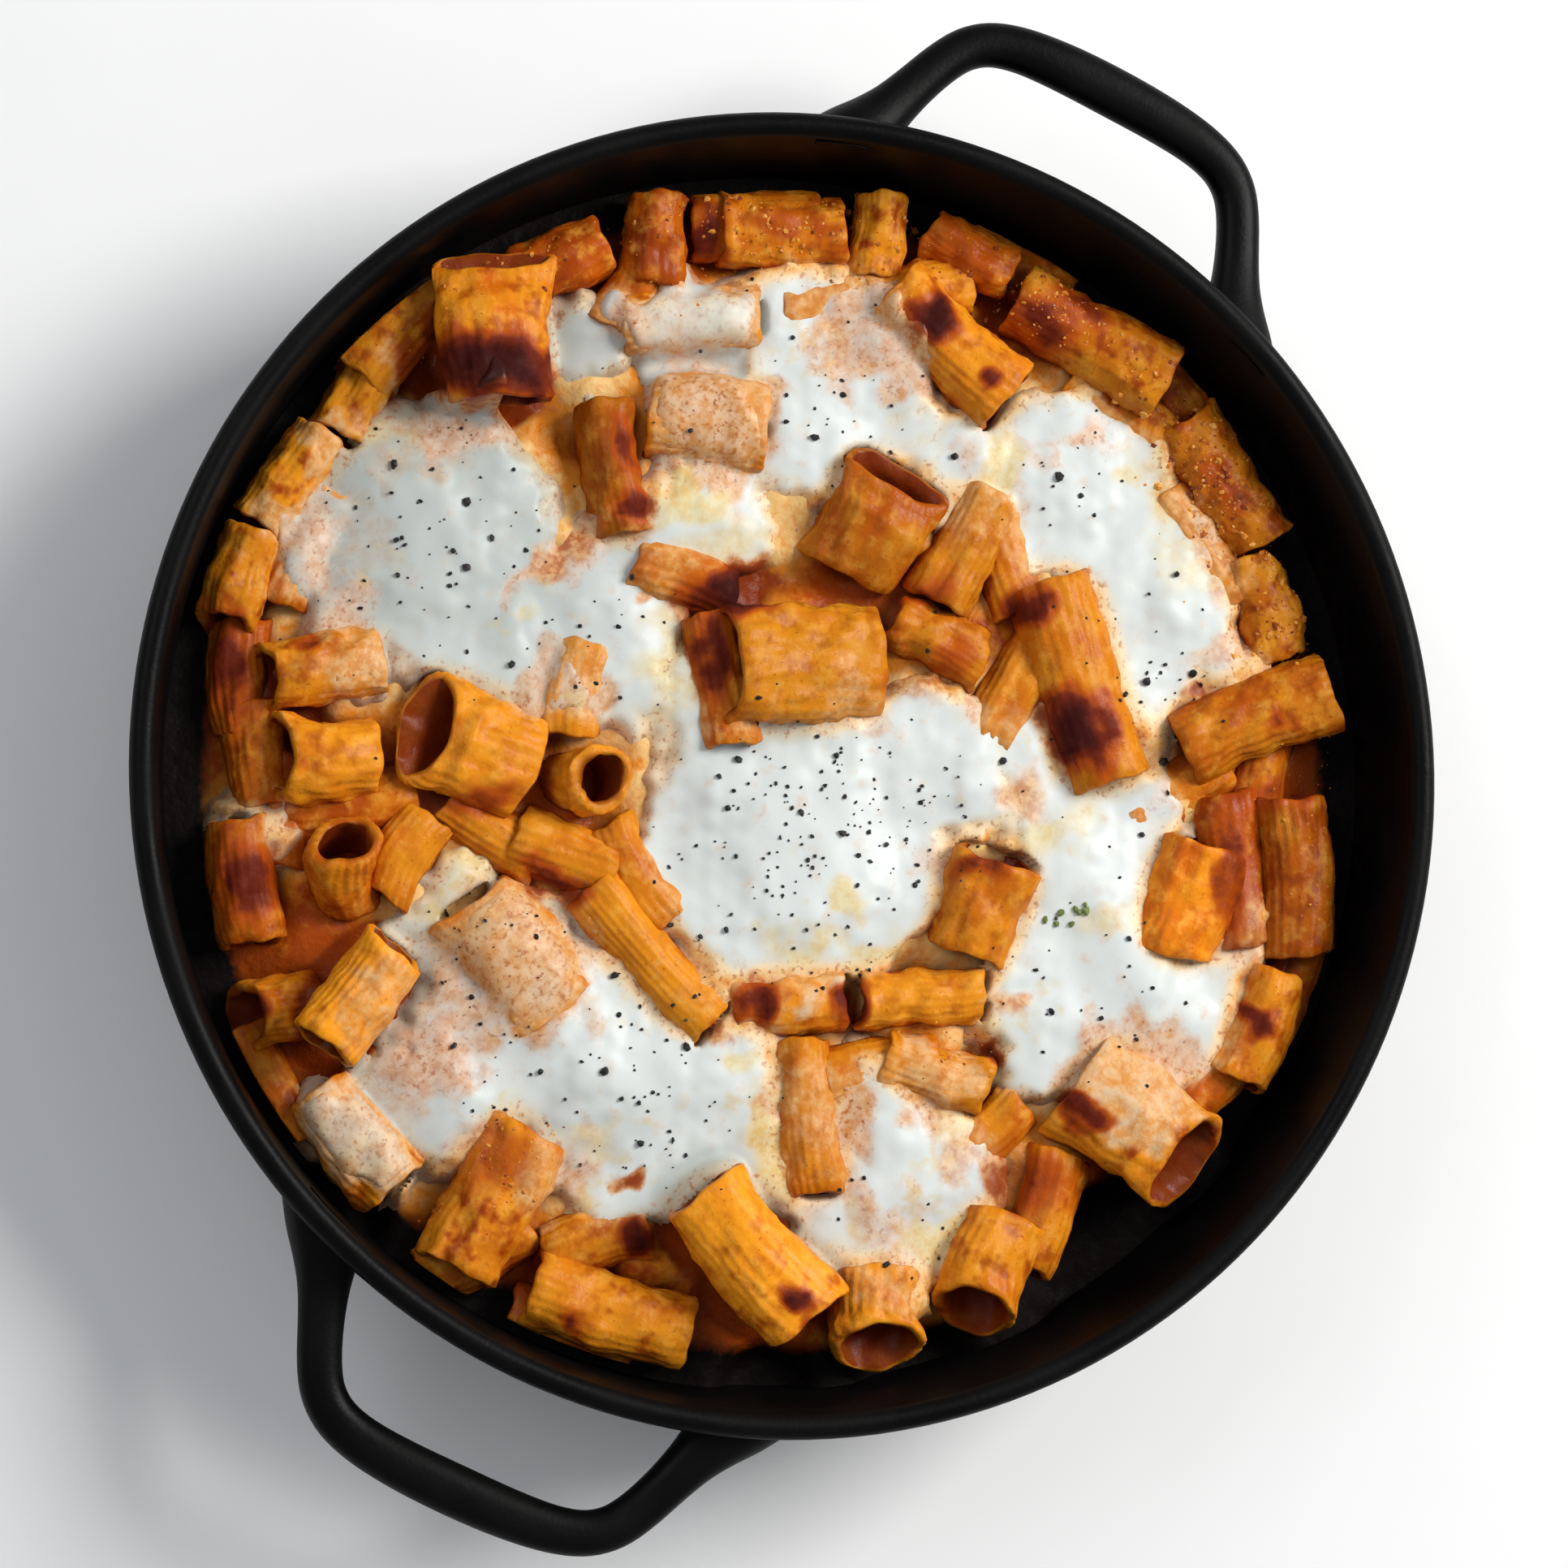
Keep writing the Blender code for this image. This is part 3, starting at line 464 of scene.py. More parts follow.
class Look:
    """Builds one node material."""

    def __init__(self, name):
        self.material = bpy.data.materials.new(name)
        self.material.use_nodes = True
        self.tree = self.material.node_tree
        self.shader = self.tree.nodes["Principled BSDF"]

    def node(self, kind, **settings):
        made = self.tree.nodes.new(kind)
        for key, value in settings.items():
            setattr(made, key, value)
        return made

    def feed(self, socket, value):
        """Connects a socket, or sets it when the value is a plain number or colour."""
        if isinstance(value, bpy.types.NodeSocket):
            self.tree.links.new(value, socket)
        elif isinstance(value, tuple) and len(value) == 3 and socket.type == "RGBA":
            socket.default_value = (*value, 1)
        else:
            socket.default_value = value

    def fill(self, node, **sockets):
        """Feeds the sockets with these names, with _ for a space."""
        for key, value in sockets.items():
            self.feed(node.inputs[key.replace("_", " ")], value)

    def number(self, name):
        """A per-vertex number of the mesh."""
        return self.node("ShaderNodeAttribute", attribute_name=name).outputs["Fac"]

    def noise(self, size_mm, detail=3.0, roughness=0.55):
        """Noise in the object's own space, with features of about this size."""
        place = self.node("ShaderNodeTexCoord").outputs["Object"]
        made = self.node("ShaderNodeTexNoise")
        self.fill(made, Vector=place, Scale=1 / (size_mm * mm), Detail=detail, Roughness=roughness)
        return made.outputs["Fac"]

    def math(self, operation, a, b=0.0):
        made = self.node("ShaderNodeMath", operation=operation)
        self.feed(made.inputs[0], a)
        self.feed(made.inputs[1], b)
        return made.outputs[0]

    def times(self, a, b):
        return self.math("MULTIPLY", a, b)

    def uneven(self, name, noise, amount):
        """A per-vertex number moved up and down by noise, by about this much either way."""
        moved = self.times(self.math("SUBTRACT", noise, 0.5), NOISE_SWING * amount)
        return self.math("ADD", self.number(name), moved)

    def step(self, value, low, high, to_low=0.0, to_high=1.0):
        """A smooth ramp from one number to another."""
        made = self.node("ShaderNodeMapRange", interpolation_type="SMOOTHSTEP")
        self.fill(made, Value=value, From_Min=low, From_Max=high, To_Min=to_low, To_Max=to_high)
        return made.outputs["Result"]

    def shaded(self, colour, factor):
        """A colour made darker or brighter by a factor."""
        made = self.node("ShaderNodeVectorMath", operation="SCALE")
        self.fill(made, Vector=colour, Scale=factor)
        return made.outputs["Vector"]

    def mix(self, factor, first, second):
        made = self.node("ShaderNodeMix", data_type="RGBA")
        self.feed(made.inputs["Factor"], factor)
        self.feed(made.inputs[6], first)
        self.feed(made.inputs[7], second)
        return made.outputs[2]

    def layers(self, colour, *over):
        """A colour with others laid over it in turn, each (factor, colour)."""
        for factor, layer in over:
            colour = self.mix(factor, colour, layer)
        return colour

    def patches(self, size_mm):
        """1 and 0 in soft-edged patches of about this size."""
        return self.step(self.noise(size_mm, 3, 0.6), 0.38, 0.62)

    def bump(self, *heights):
        """Bumps laid one over another, each (height, distance in mm, strength)."""
        below = None
        for height, distance_mm, strength in heights:
            made = self.node("ShaderNodeBump")
            self.fill(made, Distance=distance_mm * mm, Strength=strength, Height=height)
            if below:
                self.fill(made, Normal=below)
            below = made.outputs["Normal"]
        self.fill(self.shader, Normal=below)

    def finish(self, colour, roughness, **sockets):
        self.fill(self.shader, Base_Color=colour, Roughness=roughness, **sockets)
        return self.material


def pasta_look():
    """Cooked pasta in sauce: golden where it has dried, dark where it has baked; darker red lower down and
    near black lowest, as painted shade.
    """
    look = Look("sauced_pasta")
    step, times = look.step, look.times
    broad, medium, fine = look.noise(8, 3), look.noise(3, 4), look.noise(0.9, 3)
    lift = look.uneven("height", medium, 0.35)
    tone = look.uneven("tone", broad, 1)
    groove = times(look.number("groove"), step(broad, 0.4, 0.62))
    blotch = times(step(look.noise(4.2, 2), 0.46, 0.72), look.number("baked"))
    speck = times(step(fine, 0.6, 0.72), step(broad, 0.42, 0.58))
    pasta = look.layers(
        look.mix(step(tone, -0.9, 0.9), (0.57, 0.115, 0.004), (0.8, 0.285, 0.011)),
        (step(tone, -0.8, -1.8), (0.33, 0.045, 0.003)),
        (times(step(medium, 0.46, 0.7), 0.55), (0.88, 0.4, 0.045)),
        # Painted shade: darker red, then near black, where the pasta lies low between the tubes
        (step(lift, 0.75, 0.3), SAUCE_AND_SHADE),
        (step(lift, 0.42, 0), (0.18, 0.024, 0.002)),
        (times(groove, 0.38), SAUCE_AND_SHADE),
        (times(blotch, 0.85), (0.36, 0.055, 0.003)),
        (times(speck, 0.6), (0.34, 0.045, 0.003)),
    )
    peach = look.mix(look.patches(2.1), (0.76, 0.45, 0.2), (0.68, 0.29, 0.07))
    film = look.uneven("film", medium, 0.45)
    char = look.uneven("char", medium, CHAR_RAGGED)
    colour = look.layers(
        look.shaded(pasta, look.number("shade")),
        (times(step(film, 0.15, 0.95), 0.9), peach),
        (step(film, 0.9, 1.5), (0.72, 0.56, 0.38)),
        # The tubes' insides, dark red, partly painted shade
        (times(look.number("inner"), 0.92), (0.17, 0.018, 0.003)),
        (step(char, 0.1, 0.42), (0.42, 0.07, 0.004)),
        (step(char, 0.36, 0.66), (0.14, 0.014, 0.003)),
        (step(char, 0.62, 0.95), (0.042, 0.0032, 0.0015)),
    )
    look.bump((medium, 0.7, 0.4), (fine, 0.25, 0.35))
    rough = look.math("ADD", step(medium, 0.3, 0.7, 0.26, 0.46), step(char, 0.3, 0.8, 0, 0.35))
    return look.finish(colour, rough, Specular_IOR_Level=0.12)


def cheese_look():
    """Melted mozzarella: cool white where it is thick, cream and peach where the sauce shows through, with
    painted grey-green shade in its hollows and towards the left.
    """
    look = Look("melted_mozzarella")
    step, times, mix = look.step, look.times, look.mix
    broad, medium, fine = look.noise(14, 3), look.noise(4, 4), look.noise(1.2, 3)
    patches = look.patches(1.9)
    white = look.uneven("white", medium, 0.2)
    thinnest = mix(patches, (0.74, 0.32, 0.05), (0.62, 0.17, 0.012))
    baked = mix(step(look.noise(2.4, 4, 0.62), 0.38, 0.64), (0.72, 0.46, 0.28), (0.6, 0.24, 0.05))
    baked = mix(step(look.noise(1.1, 2), 0.58, 0.7), baked, (0.36, 0.085, 0.014))
    oil = times(step(broad, 0.56, 0.7), step(medium, 0.46, 0.62))
    colour = look.layers(
        mix(step(white, 0, 0.22), thinnest, mix(patches, (0.84, 0.52, 0.2), (0.76, 0.37, 0.09))),
        (step(white, 0.14, 0.4), (0.84, 0.66, 0.42)),
        (step(white, 0.36, 0.62), (0.7, 0.69, 0.6)),
        (step(white, 0.58, 0.85), (0.68, 0.72, 0.7)),
        (times(step(look.uneven("tan", medium, 0.5), 0, 0.85), 0.92), baked),
        # Painted shade, grey-green
        (times(step(look.uneven("painted_shade", broad, 0.3), 0.1, 1.3), 0.62), (0.38, 0.42, 0.39)),
        (times(oil, 0.4), (0.7, 0.54, 0.17)),
    )
    for stain, strength, pale, strong in (
        ("oil", 0.8, (0.75, 0.64, 0.33), (0.72, 0.52, 0.18)),
        ("pink", 0.85, (0.78, 0.56, 0.4), (0.68, 0.37, 0.21)),
        ("sauce", 0.85, (0.76, 0.44, 0.17), (0.56, 0.18, 0.02)),
    ):
        there = step(look.uneven(stain, medium, 0.35), 0.05, 1)
        colour = mix(times(there, strength), colour, mix(patches, pale, strong))
    dry = look.math("MAXIMUM", step(white, 0.75, 0.3), look.number("pink"))
    char = look.uneven("char", medium, CHAR_RAGGED)
    colour = look.layers(
        colour,
        (times(look.number("thin"), 0.92), mix(patches, (0.76, 0.42, 0.16), (0.64, 0.24, 0.04))),
        (times(times(step(fine, 0.54, 0.68), dry), 0.7), (0.4, 0.12, 0.03)),
        (step(char, 0.08, 0.4), mix(patches, (0.66, 0.35, 0.15), (0.44, 0.13, 0.035))),
        (step(char, 0.34, 0.62), (0.28, 0.05, 0.01)),
        (step(char, 0.6, 0.95), (0.04, 0.006, 0.004)),
    )
    look.bump((look.noise(8, 1), 0.8, 0.25), (medium, 0.25, 0.15), (fine, 0.08, 0.15))
    return look.finish(colour, step(medium, 0.3, 0.7, 0.3, 0.46), Specular_IOR_Level=0.2)


def sauce_look():
    """Sauce with melted cheese stirred through it, near black where it has burnt at the wall, with painted
    shade where it lies deep between the tubes.
    """
    look = Look("tomato_sauce")
    broad, medium = look.noise(8, 3), look.noise(2.6, 4)
    cream = look.uneven("cream", medium, 0.5)
    colour = look.layers(
        look.mix(look.step(cream, 0, 0.5), (0.4, 0.065, 0.004), (0.66, 0.22, 0.018)),
        (look.step(cream, 0.45, 1.1), (0.8, 0.52, 0.2)),
        # Painted shade where the sauce lies deep between the tubes, darkened also where it has charred
        (look.step(look.uneven("gap_shade_and_char", medium, 0.25), 0.1, 0.8), (0.2, 0.028, 0.002)),
        (look.step(look.uneven("burnt", medium, 0.2), 0.15, 0.7), (0.004, 0.002, 0.0015)),
    )
    look.bump((broad, 1.6, 0.4), (medium, 0.9, 0.5))
    rough = look.math("ADD", look.step(medium, 0.3, 0.7, 0.22, 0.42), look.times(look.number("burnt"), 0.35))
    return look.finish(colour, rough, Specular_IOR_Level=0.1)


def iron_look():
    """Seasoned cast iron: black and pebbled, with burnt sauce along the line of the food."""
    look = Look("seasoned_iron")
    broad, pits, grain = look.noise(26, 3), look.noise(2.6, 3), look.noise(0.9, 2)
    iron = look.mix(look.step(broad, 0.35, 0.7), (0.0016, 0.0014, 0.0014), (0.0034, 0.003, 0.0028))
    scorch = look.times(look.number("scorch"), look.step(pits, 0.38, 0.6))
    colour = look.mix(look.times(scorch, 0.3), iron, (0.022, 0.005, 0.002))
    look.bump((pits, 0.25, 0.3), (grain, 0.12, 0.4))
    return look.finish(colour, look.step(broad, 0.3, 0.7, 0.38, 0.55), Specular_IOR_Level=0.09)


def pepper_look():
    look = Look("cracked_pepper")
    fine = look.noise(0.5, 2)
    colour = look.mix(look.step(fine, 0.55, 0.75), (0.006, 0.006, 0.009), (0.06, 0.042, 0.032))
    look.bump((fine, 0.2, 0.5))
    return look.finish(colour, 0.6)


def crumb_look():
    """Grated cheese and sauce baked to a golden crumb."""
    look = Look("baked_crumb")
    tone = look.number("tone")
    colour = look.mix(look.step(tone, 0.0, 0.5), (0.8, 0.35, 0.04), (0.6, 0.17, 0.01))
    colour = look.mix(look.step(tone, 0.5, 1.0), colour, (0.22, 0.03, 0.004))
    look.bump((look.noise(0.7, 2), 0.2, 0.4))
    return look.finish(colour, 0.42)


def mottled_look(name, size_mm, detail, first, second, roughness):
    """Two tones run into each other in patches of about this size."""
    look = Look(name)
    return look.finish(look.mix(look.noise(size_mm, detail), first, second), roughness)


# The pan

PAN_SEGMENTS = 180
HANDLE_STEPS = 97
HANDLE_SIDES = 28
# The foot of the lip inside, and the sector of the wall, in degrees, where sauce has burnt on
LIP_FOOT = PAN_HEIGHT - 7 * mm
BURNT_FROM, BURNT_TO = -12, 118


def pan_wall(z, inward=0.0):
    """Radius of the pan's wall at a height, on its outer face or that far in."""
    share = (z - KNEE_HEIGHT) / (PAN_HEIGHT - LIP_WIDTH - KNEE_HEIGHT)
    return WALL_FOOT_RADIUS + (WALL_TOP_RADIUS - WALL_FOOT_RADIUS) * share - inward


def arc(centre_r, centre_z, radius_r, radius_z, start, end, steps):
    turns = np.radians(np.linspace(start, end, steps + 1))
    return [(centre_r + radius_r * cos(t), centre_z + radius_z * sin(t)) for t in turns]


def turned(profile):
    """Points and faces of a closed surface of revolution through (radius, height) points."""
    turns = np.linspace(0, 2 * pi, PAN_SEGMENTS, endpoint=False)
    verts = np.array([(r * cos(t), r * sin(t), z) for r, z in profile for t in turns])
    return verts, capped_faces(len(profile), PAN_SEGMENTS)


def pan_body():
    """The turned body, from the middle of the underside round the lip to the middle of the floor."""
    base = arc(BASE_RADIUS, KNEE_HEIGHT, WALL_FOOT_RADIUS - BASE_RADIUS, KNEE_HEIGHT, -90, 0, 14)
    lip_middle = RIM_RADIUS - LIP_WIDTH / 2
    lip_z = PAN_HEIGHT - LIP_WIDTH / 2
    lip = arc(lip_middle, lip_z, LIP_WIDTH / 2, LIP_WIDTH / 2, -55, 180, 18)
    foot = WALL_FOOT_RADIUS - WALL
    knee = arc(BASE_RADIUS - WALL, KNEE_HEIGHT, foot - BASE_RADIUS + WALL, KNEE_HEIGHT - FLOOR, 0, -90, 10)
    walls = [(pan_wall(z, WALL), z) for z in np.linspace(LIP_FOOT, KNEE_HEIGHT + 2 * mm, 22)]
    under = [(0.5 * mm, RECESS_DEPTH), (RECESS_RADIUS - RECESS_DEPTH, RECESS_DEPTH), (RECESS_RADIUS, 0)]
    return turned([*under, *base, *lip, *walls, *knee, (0.5 * mm, FLOOR)])


def handle_loop(side):
    """A loop handle as one closed tube of flattened round section."""
    half = np.array(HANDLE_LINE)
    route = np.vstack([half, half[-2::-1] * (1, -1, 1)])
    places = np.linspace(0, 1, len(route))
    fine = np.linspace(0, 1, HANDLE_STEPS)
    line = np.stack([np.interp(fine, places, route[:, i]) for i in range(3)], 1)
    for _ in range(6):
        line[1:-1] = (line[:-2] + 2 * line[1:-1] + line[2:]) / 4
    ahead = np.gradient(line[:, :2], axis=0)
    ahead /= np.linalg.norm(ahead, axis=1)[:, None]
    turns = np.linspace(0, 2 * pi, HANDLE_SIDES, endpoint=False)
    wide = powered(np.cos(turns), 0.85) * HANDLE_WIDTH / 2
    tall = powered(np.sin(turns), 0.85) * HANDLE_THICKNESS / 2
    verts = np.zeros((HANDLE_STEPS, HANDLE_SIDES, 3))
    for i, (x, y, scale) in enumerate(line):
        verts[i, :, 0] = side * (x * mm - ahead[i, 1] * wide * scale)
        verts[i, :, 1] = y * mm + ahead[i, 0] * wide * scale
        verts[i, :, 2] = HANDLE_Z + tall * scale
    return verts.reshape(-1, 3), capped_faces(HANDLE_STEPS, HANDLE_SIDES)


def helper_object(name, verts, faces):
    """A closed mesh with its faces turned outwards."""
    mesh = bpy.data.meshes.new(name)
    mesh.from_pydata(verts.tolist(), [], faces)
    bm = bmesh.new()
    bm.from_mesh(mesh)
    bmesh.ops.recalc_face_normals(bm, faces=bm.faces)
    bm.to_mesh(mesh)
    bm.free()
    return new_object(name, mesh)


def build_pan(finish):
    """The pan, with its handles united to it and cut off flush inside."""
    body = helper_object("pan_body", *pan_body())
    above, below = PAN_HEIGHT + 14 * mm, 20 * mm
    profile = [(0.5 * mm, above), (RIM_RADIUS - LIP_WIDTH + 0.3 * mm, above)]
    profile += [(pan_wall(z, WALL - 0.15 * mm), z) for z in np.linspace(LIP_FOOT, below, 8)]
    inside = helper_object("pan_inside", *turned([*profile, (0.5 * mm, below)]))
    helpers = [inside, body]
    for name, side in (("handle_a", 1), ("handle_b", -1)):
        loop = helper_object(name, *handle_loop(side))
        for whole, operation, other in ((loop, "DIFFERENCE", inside), (body, "UNION", loop)):
            change = whole.modifiers.new(operation, "BOOLEAN")
            change.operation, change.object = operation, other
        helpers.append(loop)
    graph = bpy.context.evaluated_depsgraph_get()
    mesh = bpy.data.meshes.new_from_object(body.evaluated_get(graph))
    for helper in helpers:
        bpy.data.objects.remove(helper)
    mesh.shade_smooth()
    mesh.set_sharp_from_angle(angle=radians(42))
    co = np.array([v.co for v in mesh.vertices])
    seen = co @ TO_WORLD
    turn = np.degrees(np.arctan2(seen[:, 1], seen[:, 0]))
    burnt = smoothstep(BURNT_FROM - 25, BURNT_FROM, turn) * smoothstep(BURNT_TO + 25, BURNT_TO, turn)
    inner = np.hypot(co[:, 0], co[:, 1]) < pan_wall(co[:, 2], WALL * 0.5)
    scorch = smoothstep(40, 30, co[:, 2] / mm) * inner * (0.12 + 0.88 * burnt)
    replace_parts(as_piece("cast_iron_pan", mesh, finish, "cast_iron", scorch=scorch), "pan")


# Rigatoni


def tube_pose(node):
    """Middle, axis, side and up directions and sizes of a tube's solid, in the diner's frame, in mm."""
    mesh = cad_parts[node].data
    co = np.array([v.co for v in mesh.vertices]) @ TO_WORLD / mm
    mesh.calc_loop_triangles()
    spread = np.zeros((3, 3))
    for triangle in mesh.loop_triangles:
        a, b, c = (co[i] for i in triangle.vertices)
        area = np.cross(b - a, c - a)
        size = np.linalg.norm(area)
        if size > 0:
            spread += np.outer(area, area) / size
    axis = np.linalg.eigh(spread)[1][:, 0]
    if axis[2] < -0.02 or (abs(axis[2]) <= 0.02 and axis[0] < 0):
        axis = -axis
    side = np.cross((0, 0, 1), axis)
    side /= np.linalg.norm(side)
    up = np.cross(axis, side)
    sizes = [np.ptp(co @ way) for way in (axis, side, up)]
    middle = sum(way * ((co @ way).min() + np.ptp(co @ way) / 2) for way in (axis, side, up))
    return middle, axis, side, up, sizes


def cut_backs(number, axis):
    """How far the upper edge is cut back at the tube's far and near ends, in mm."""
    heading, amount = OPENINGS.get(number, (0, 0))
    towards = axis[0] * cos(radians(heading)) + axis[1] * sin(radians(heading))
    return (amount, 0) if towards > 0 else (0, amount)


def tube_shape(pose, seed, ridges=24, rows=16, pinch=1, back=(0, 0), crust=1):
    """One ridged tube, a little bent and dented, as closed rings of points."""
    middle, axis, side, up, (length, width, thickness) = pose
    local = np.random.default_rng(seed)
    around = ridges * 4
    turn = np.linspace(0, 2 * pi, around, endpoint=False)
    wall = min(1.9, thickness * 0.15)
    end = 0.5 + 0.4 / length
    # Rings along the tube: where, how far in through the wall, and how much of it is the inside
    stations = [(s, 0, 0) for s in np.linspace(-0.5, 0.5, rows)] + [(end, 0.3, 0.2), (end, 0.75, 0.5)]
    stations += [(s, 1, 1) for s in np.linspace(0.5, -0.5, max(rows // 2, 5))]
    stations += [(-end, 0.75, 0.5), (-end, 0.3, 0.2)]
    bend_side, bend_up = local.uniform(-1.2, 1.2), local.uniform(-0.5, 0.3)
    slant = local.uniform(-0.6, 0.6, 4)
    phases = local.uniform(0, 2 * pi, 8)
    flare = local.uniform(-0.06, 0.06, 2)
    twist = local.uniform(-0.15, 0.15)
    depth = local.uniform(0.09, 0.19) / crust
    verts, outward, groove, inner = [], [], [], []
    for s, inward, is_inner in stations:
        angle = turn + twist * s
        ridge = np.cos(ridges * turn + phases[0])
        shape = 1 + 0.04 * np.sin(2 * angle + phases[1] + 3 * s)
        shape += 0.03 * np.sin(3 * angle + phases[2] - 5 * s)
        shape += (0.025 * np.sin(6 * s + phases[3]) + flare[0] * s + flare[1] * (s * s - 0.08))
        pressed = 1 - (1 - pinch) * smoothstep(0.1, 0.5, s if back[0] >= back[1] else -s)
        kept = smoothstep(-0.5, 0.6, np.sin(2 * angle + phases[6]) * np.sin(5 * s + phases[7]))
        relief = depth * (0.3 + 0.7 * kept) * ridge * (1 - min(inward * 1.5, 1))
        half_w = (width / 2) * shape * (1 + 0.3 * (1 - pressed)) - inward * wall + relief
        half_t = (thickness / 2) * shape * pressed - inward * wall + relief
        round_x, round_y = np.cos(angle), np.sin(angle)
        x = powered(round_x, 0.92) * half_w
        y = powered(round_y, 0.92 + 1.3 * (1 - pressed)) * half_t
        slant_x, slant_y = slant[:2] if s > 0 else slant[2:]
        lean = slant_x * round_x + slant_y * round_y
        lean += 0.25 * np.sin(3 * angle + phases[4]) + 0.15 * np.sin(7 * angle + phases[5])
        upper = 0.5 + 0.5 * round_y
        along = s * length + lean * abs(2 * s) ** 3 - back[0] * upper * smoothstep(-0.1, 0.5, s)
        along += back[1] * upper * smoothstep(0.1, -0.5, s)
        bow = (2 * s) ** 2 - 0.33
        place = np.outer(along, axis) + np.outer(x + bend_side * bow, side) + np.outer(y + bend_up * bow, up)
        verts.append(middle + place)
        outward.append((np.outer(round_x, side) + np.outer(round_y, up)) * (1 - 2 * (is_inner > 0.9)))
        groove.append((0.5 - 0.5 * ridge) * (1 - is_inner) * (0.2 + 0.8 * kept) / crust)
        inner.append(np.full(around, is_inner))
    points, outward = np.concatenate(verts), np.concatenate(outward)
    x, y, z = points.T
    lumps = 0.22 * ripples(x + 0.7 * z, y - 0.5 * z, 4.5, 81)
    lumps += 0.1 * ripples(x - 0.6 * z, y + 0.8 * z, 2.2, 82)
    points = points + outward * (lumps * (0.3 + 0.7 * crust))[:, None]
    return {
        "points": points,
        "faces": ring_faces(len(stations), around, True)[:, ::-1],
        "groove": np.concatenate(groove),
        "inner": np.concatenate(inner),
    }


def top_tubes():
    """The tubes of the top layer, each on its own solid of the model."""
    tubes = []
    nodes = sorted(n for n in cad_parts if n.startswith("rigatoni"))
    for number, (node, (tone, shade, crust, clinging)) in enumerate(zip(nodes, BAKED), 1):
        chance = rng.uniform(-0.2, 0.3)
        tone = chance if tone is None else tone
        pose = tube_pose(node)
        pinch, back = PINCHED.get(number, 1), cut_backs(number, pose[1])
        tube = tube_shape(pose, 100 + number, pinch=pinch, back=back, crust=crust)
        tubes.append(tube | dict(node=node, crust=crust, tone=tone, shade=shade, clinging=clinging))
    return tubes


def sunk_tubes():
    """The tubes half sunk between and below those on top."""
    tubes = []
    for k, (x, y, heading, length, width, top, tone) in enumerate(SUNK):
        c, s = cos(radians(heading)), sin(radians(heading))
        thickness = width * 0.9
        ways = np.array([[c, s, 0], [-s, c, 0], [0, 0, 1]])
        pose = (np.array([x, y, top - thickness / 2]), *ways, (length, width, thickness))
        tube = tube_shape(pose, 500 + k, ridges=20, rows=10)
        pull_inside(tube["points"], SUNK_RADIUS)
        tubes.append(tube | dict(crust=1, tone=tone, shade=SUNK_SHADE, clinging=SUNK_CLINGING))
    return tubes


# The food's surfaces


class Food:
    """The heights over the grid of all that lies in the pan, in mm."""

    def __init__(self, top, sunk):
        x, y = grid_axes()
        reach = np.hypot(x, y)
        self.top, self.sunk = top, sunk
        self.tops, self.opening = tops_of(top, x, y)
        self.all_tops = np.maximum(self.tops, tops_of(sunk, x, y)[0])
        self.bed = bed_surface(x, y)
        self.supply = np.minimum(cheese_supply(x, y), (CHEESE_RADIUS - reach) * 0.8)
        self.supply -= 12 * bareness(x, y)
        self.cover, self.tan = cheese_cover(x, y)
        self.char = spots(CHARS, *wavy(x, y, 0.8, 4, 31), 1.5, 0.25)
        self.cheese = cheese_surface(self.supply, self.cover, self.all_tops, self.bed, x, y)
        self.cheese -= 9.0 * smoothstep(0.15, 0.5, blurred(self.opening, 1.0))
        self.below = np.maximum(self.all_tops, self.bed)
        self.surface = np.maximum(self.below, self.cheese)
        self.around = blurred(self.surface, 4.5)
        self.inside = reach < WALL_RADIUS + 3 * CELL

    def on_tube(self, tube):
        """What the pasta's material reads at each of a tube's vertices."""
        x, y, z = tube["points"].T
        grids = (self.around, self.supply, self.cheese, self.cover, self.surface, self.char)
        around, supply, cheese, cover, surface, char = (look_up(grid, x, y) for grid in grids)
        wet = smoothstep(-3, 3, supply) * smoothstep(5.5, -0.6, z - cheese)
        over = smoothstep(0.05, 0.5, cover) * smoothstep(4.5, 1.5, surface - z)
        film = tube["clinging"] * np.maximum(0.75 * wet, over)
        baked = 0.3 + 0.7 * smoothstep(78, 108, np.hypot(x, y)) + 0.6 * (tube["crust"] - 1)
        return {
            "tone": tube["tone"] + 0.25 * ripples(x + z, y - z, 6, 91),
            "groove": tube["groove"],
            "inner": tube["inner"],
            # How high a place lies against its surroundings, with the insides counted lower; pasta_look
            # paints lower places darker as shade
            "height": smoothstep(5.5, -1.5, around - z) * (1 - 0.3 * tube["inner"]),
            "char": char * smoothstep(29.0, 36.0, z),
            "film": film * (1 - tube["inner"]),
            "baked": np.minimum(baked, 1.2),
            "shade": np.full(len(x), tube["shade"]),
        }


def build_rigatoni(food, finish):
    for tube in food.top:
        name = tube["node"].replace("rigatoni", "pasta_tube")
        piece = make_piece(
            name, tube["points"], tube["faces"], finish, "sauced_pasta", **food.on_tube(tube)
        )
        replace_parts(piece, tube["node"])


def build_sunk(food, finish):
    """The sunk tubes, as one piece."""
    each = [food.on_tube(tube) for tube in food.sunk]
    numbers = {key: np.concatenate([n[key] for n in each]) for key in each[0]}
    make_piece("sunk_rigatoni", *joined(food.sunk), finish, "sauced_pasta", **numbers)


def build_bed(food, finish):
    x, y = grid_axes()
    numbers = {
        "cream": smoothstep(-14, 2, food.supply),
        # Painted shade where the sauce lies deep between the tubes, and the charred places
        "gap_shade_and_char": np.maximum(smoothstep(2, 8, food.around - food.bed), food.char),
        "burnt": np.maximum(smoothstep(110, 119, np.hypot(x, y)), bareness(x, y)),
    }
    piece = sheet_piece("sauce_bed", food.bed, food.inside, 2, finish, "tomato_sauce", **numbers)
    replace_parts(piece, "pasta_bed")


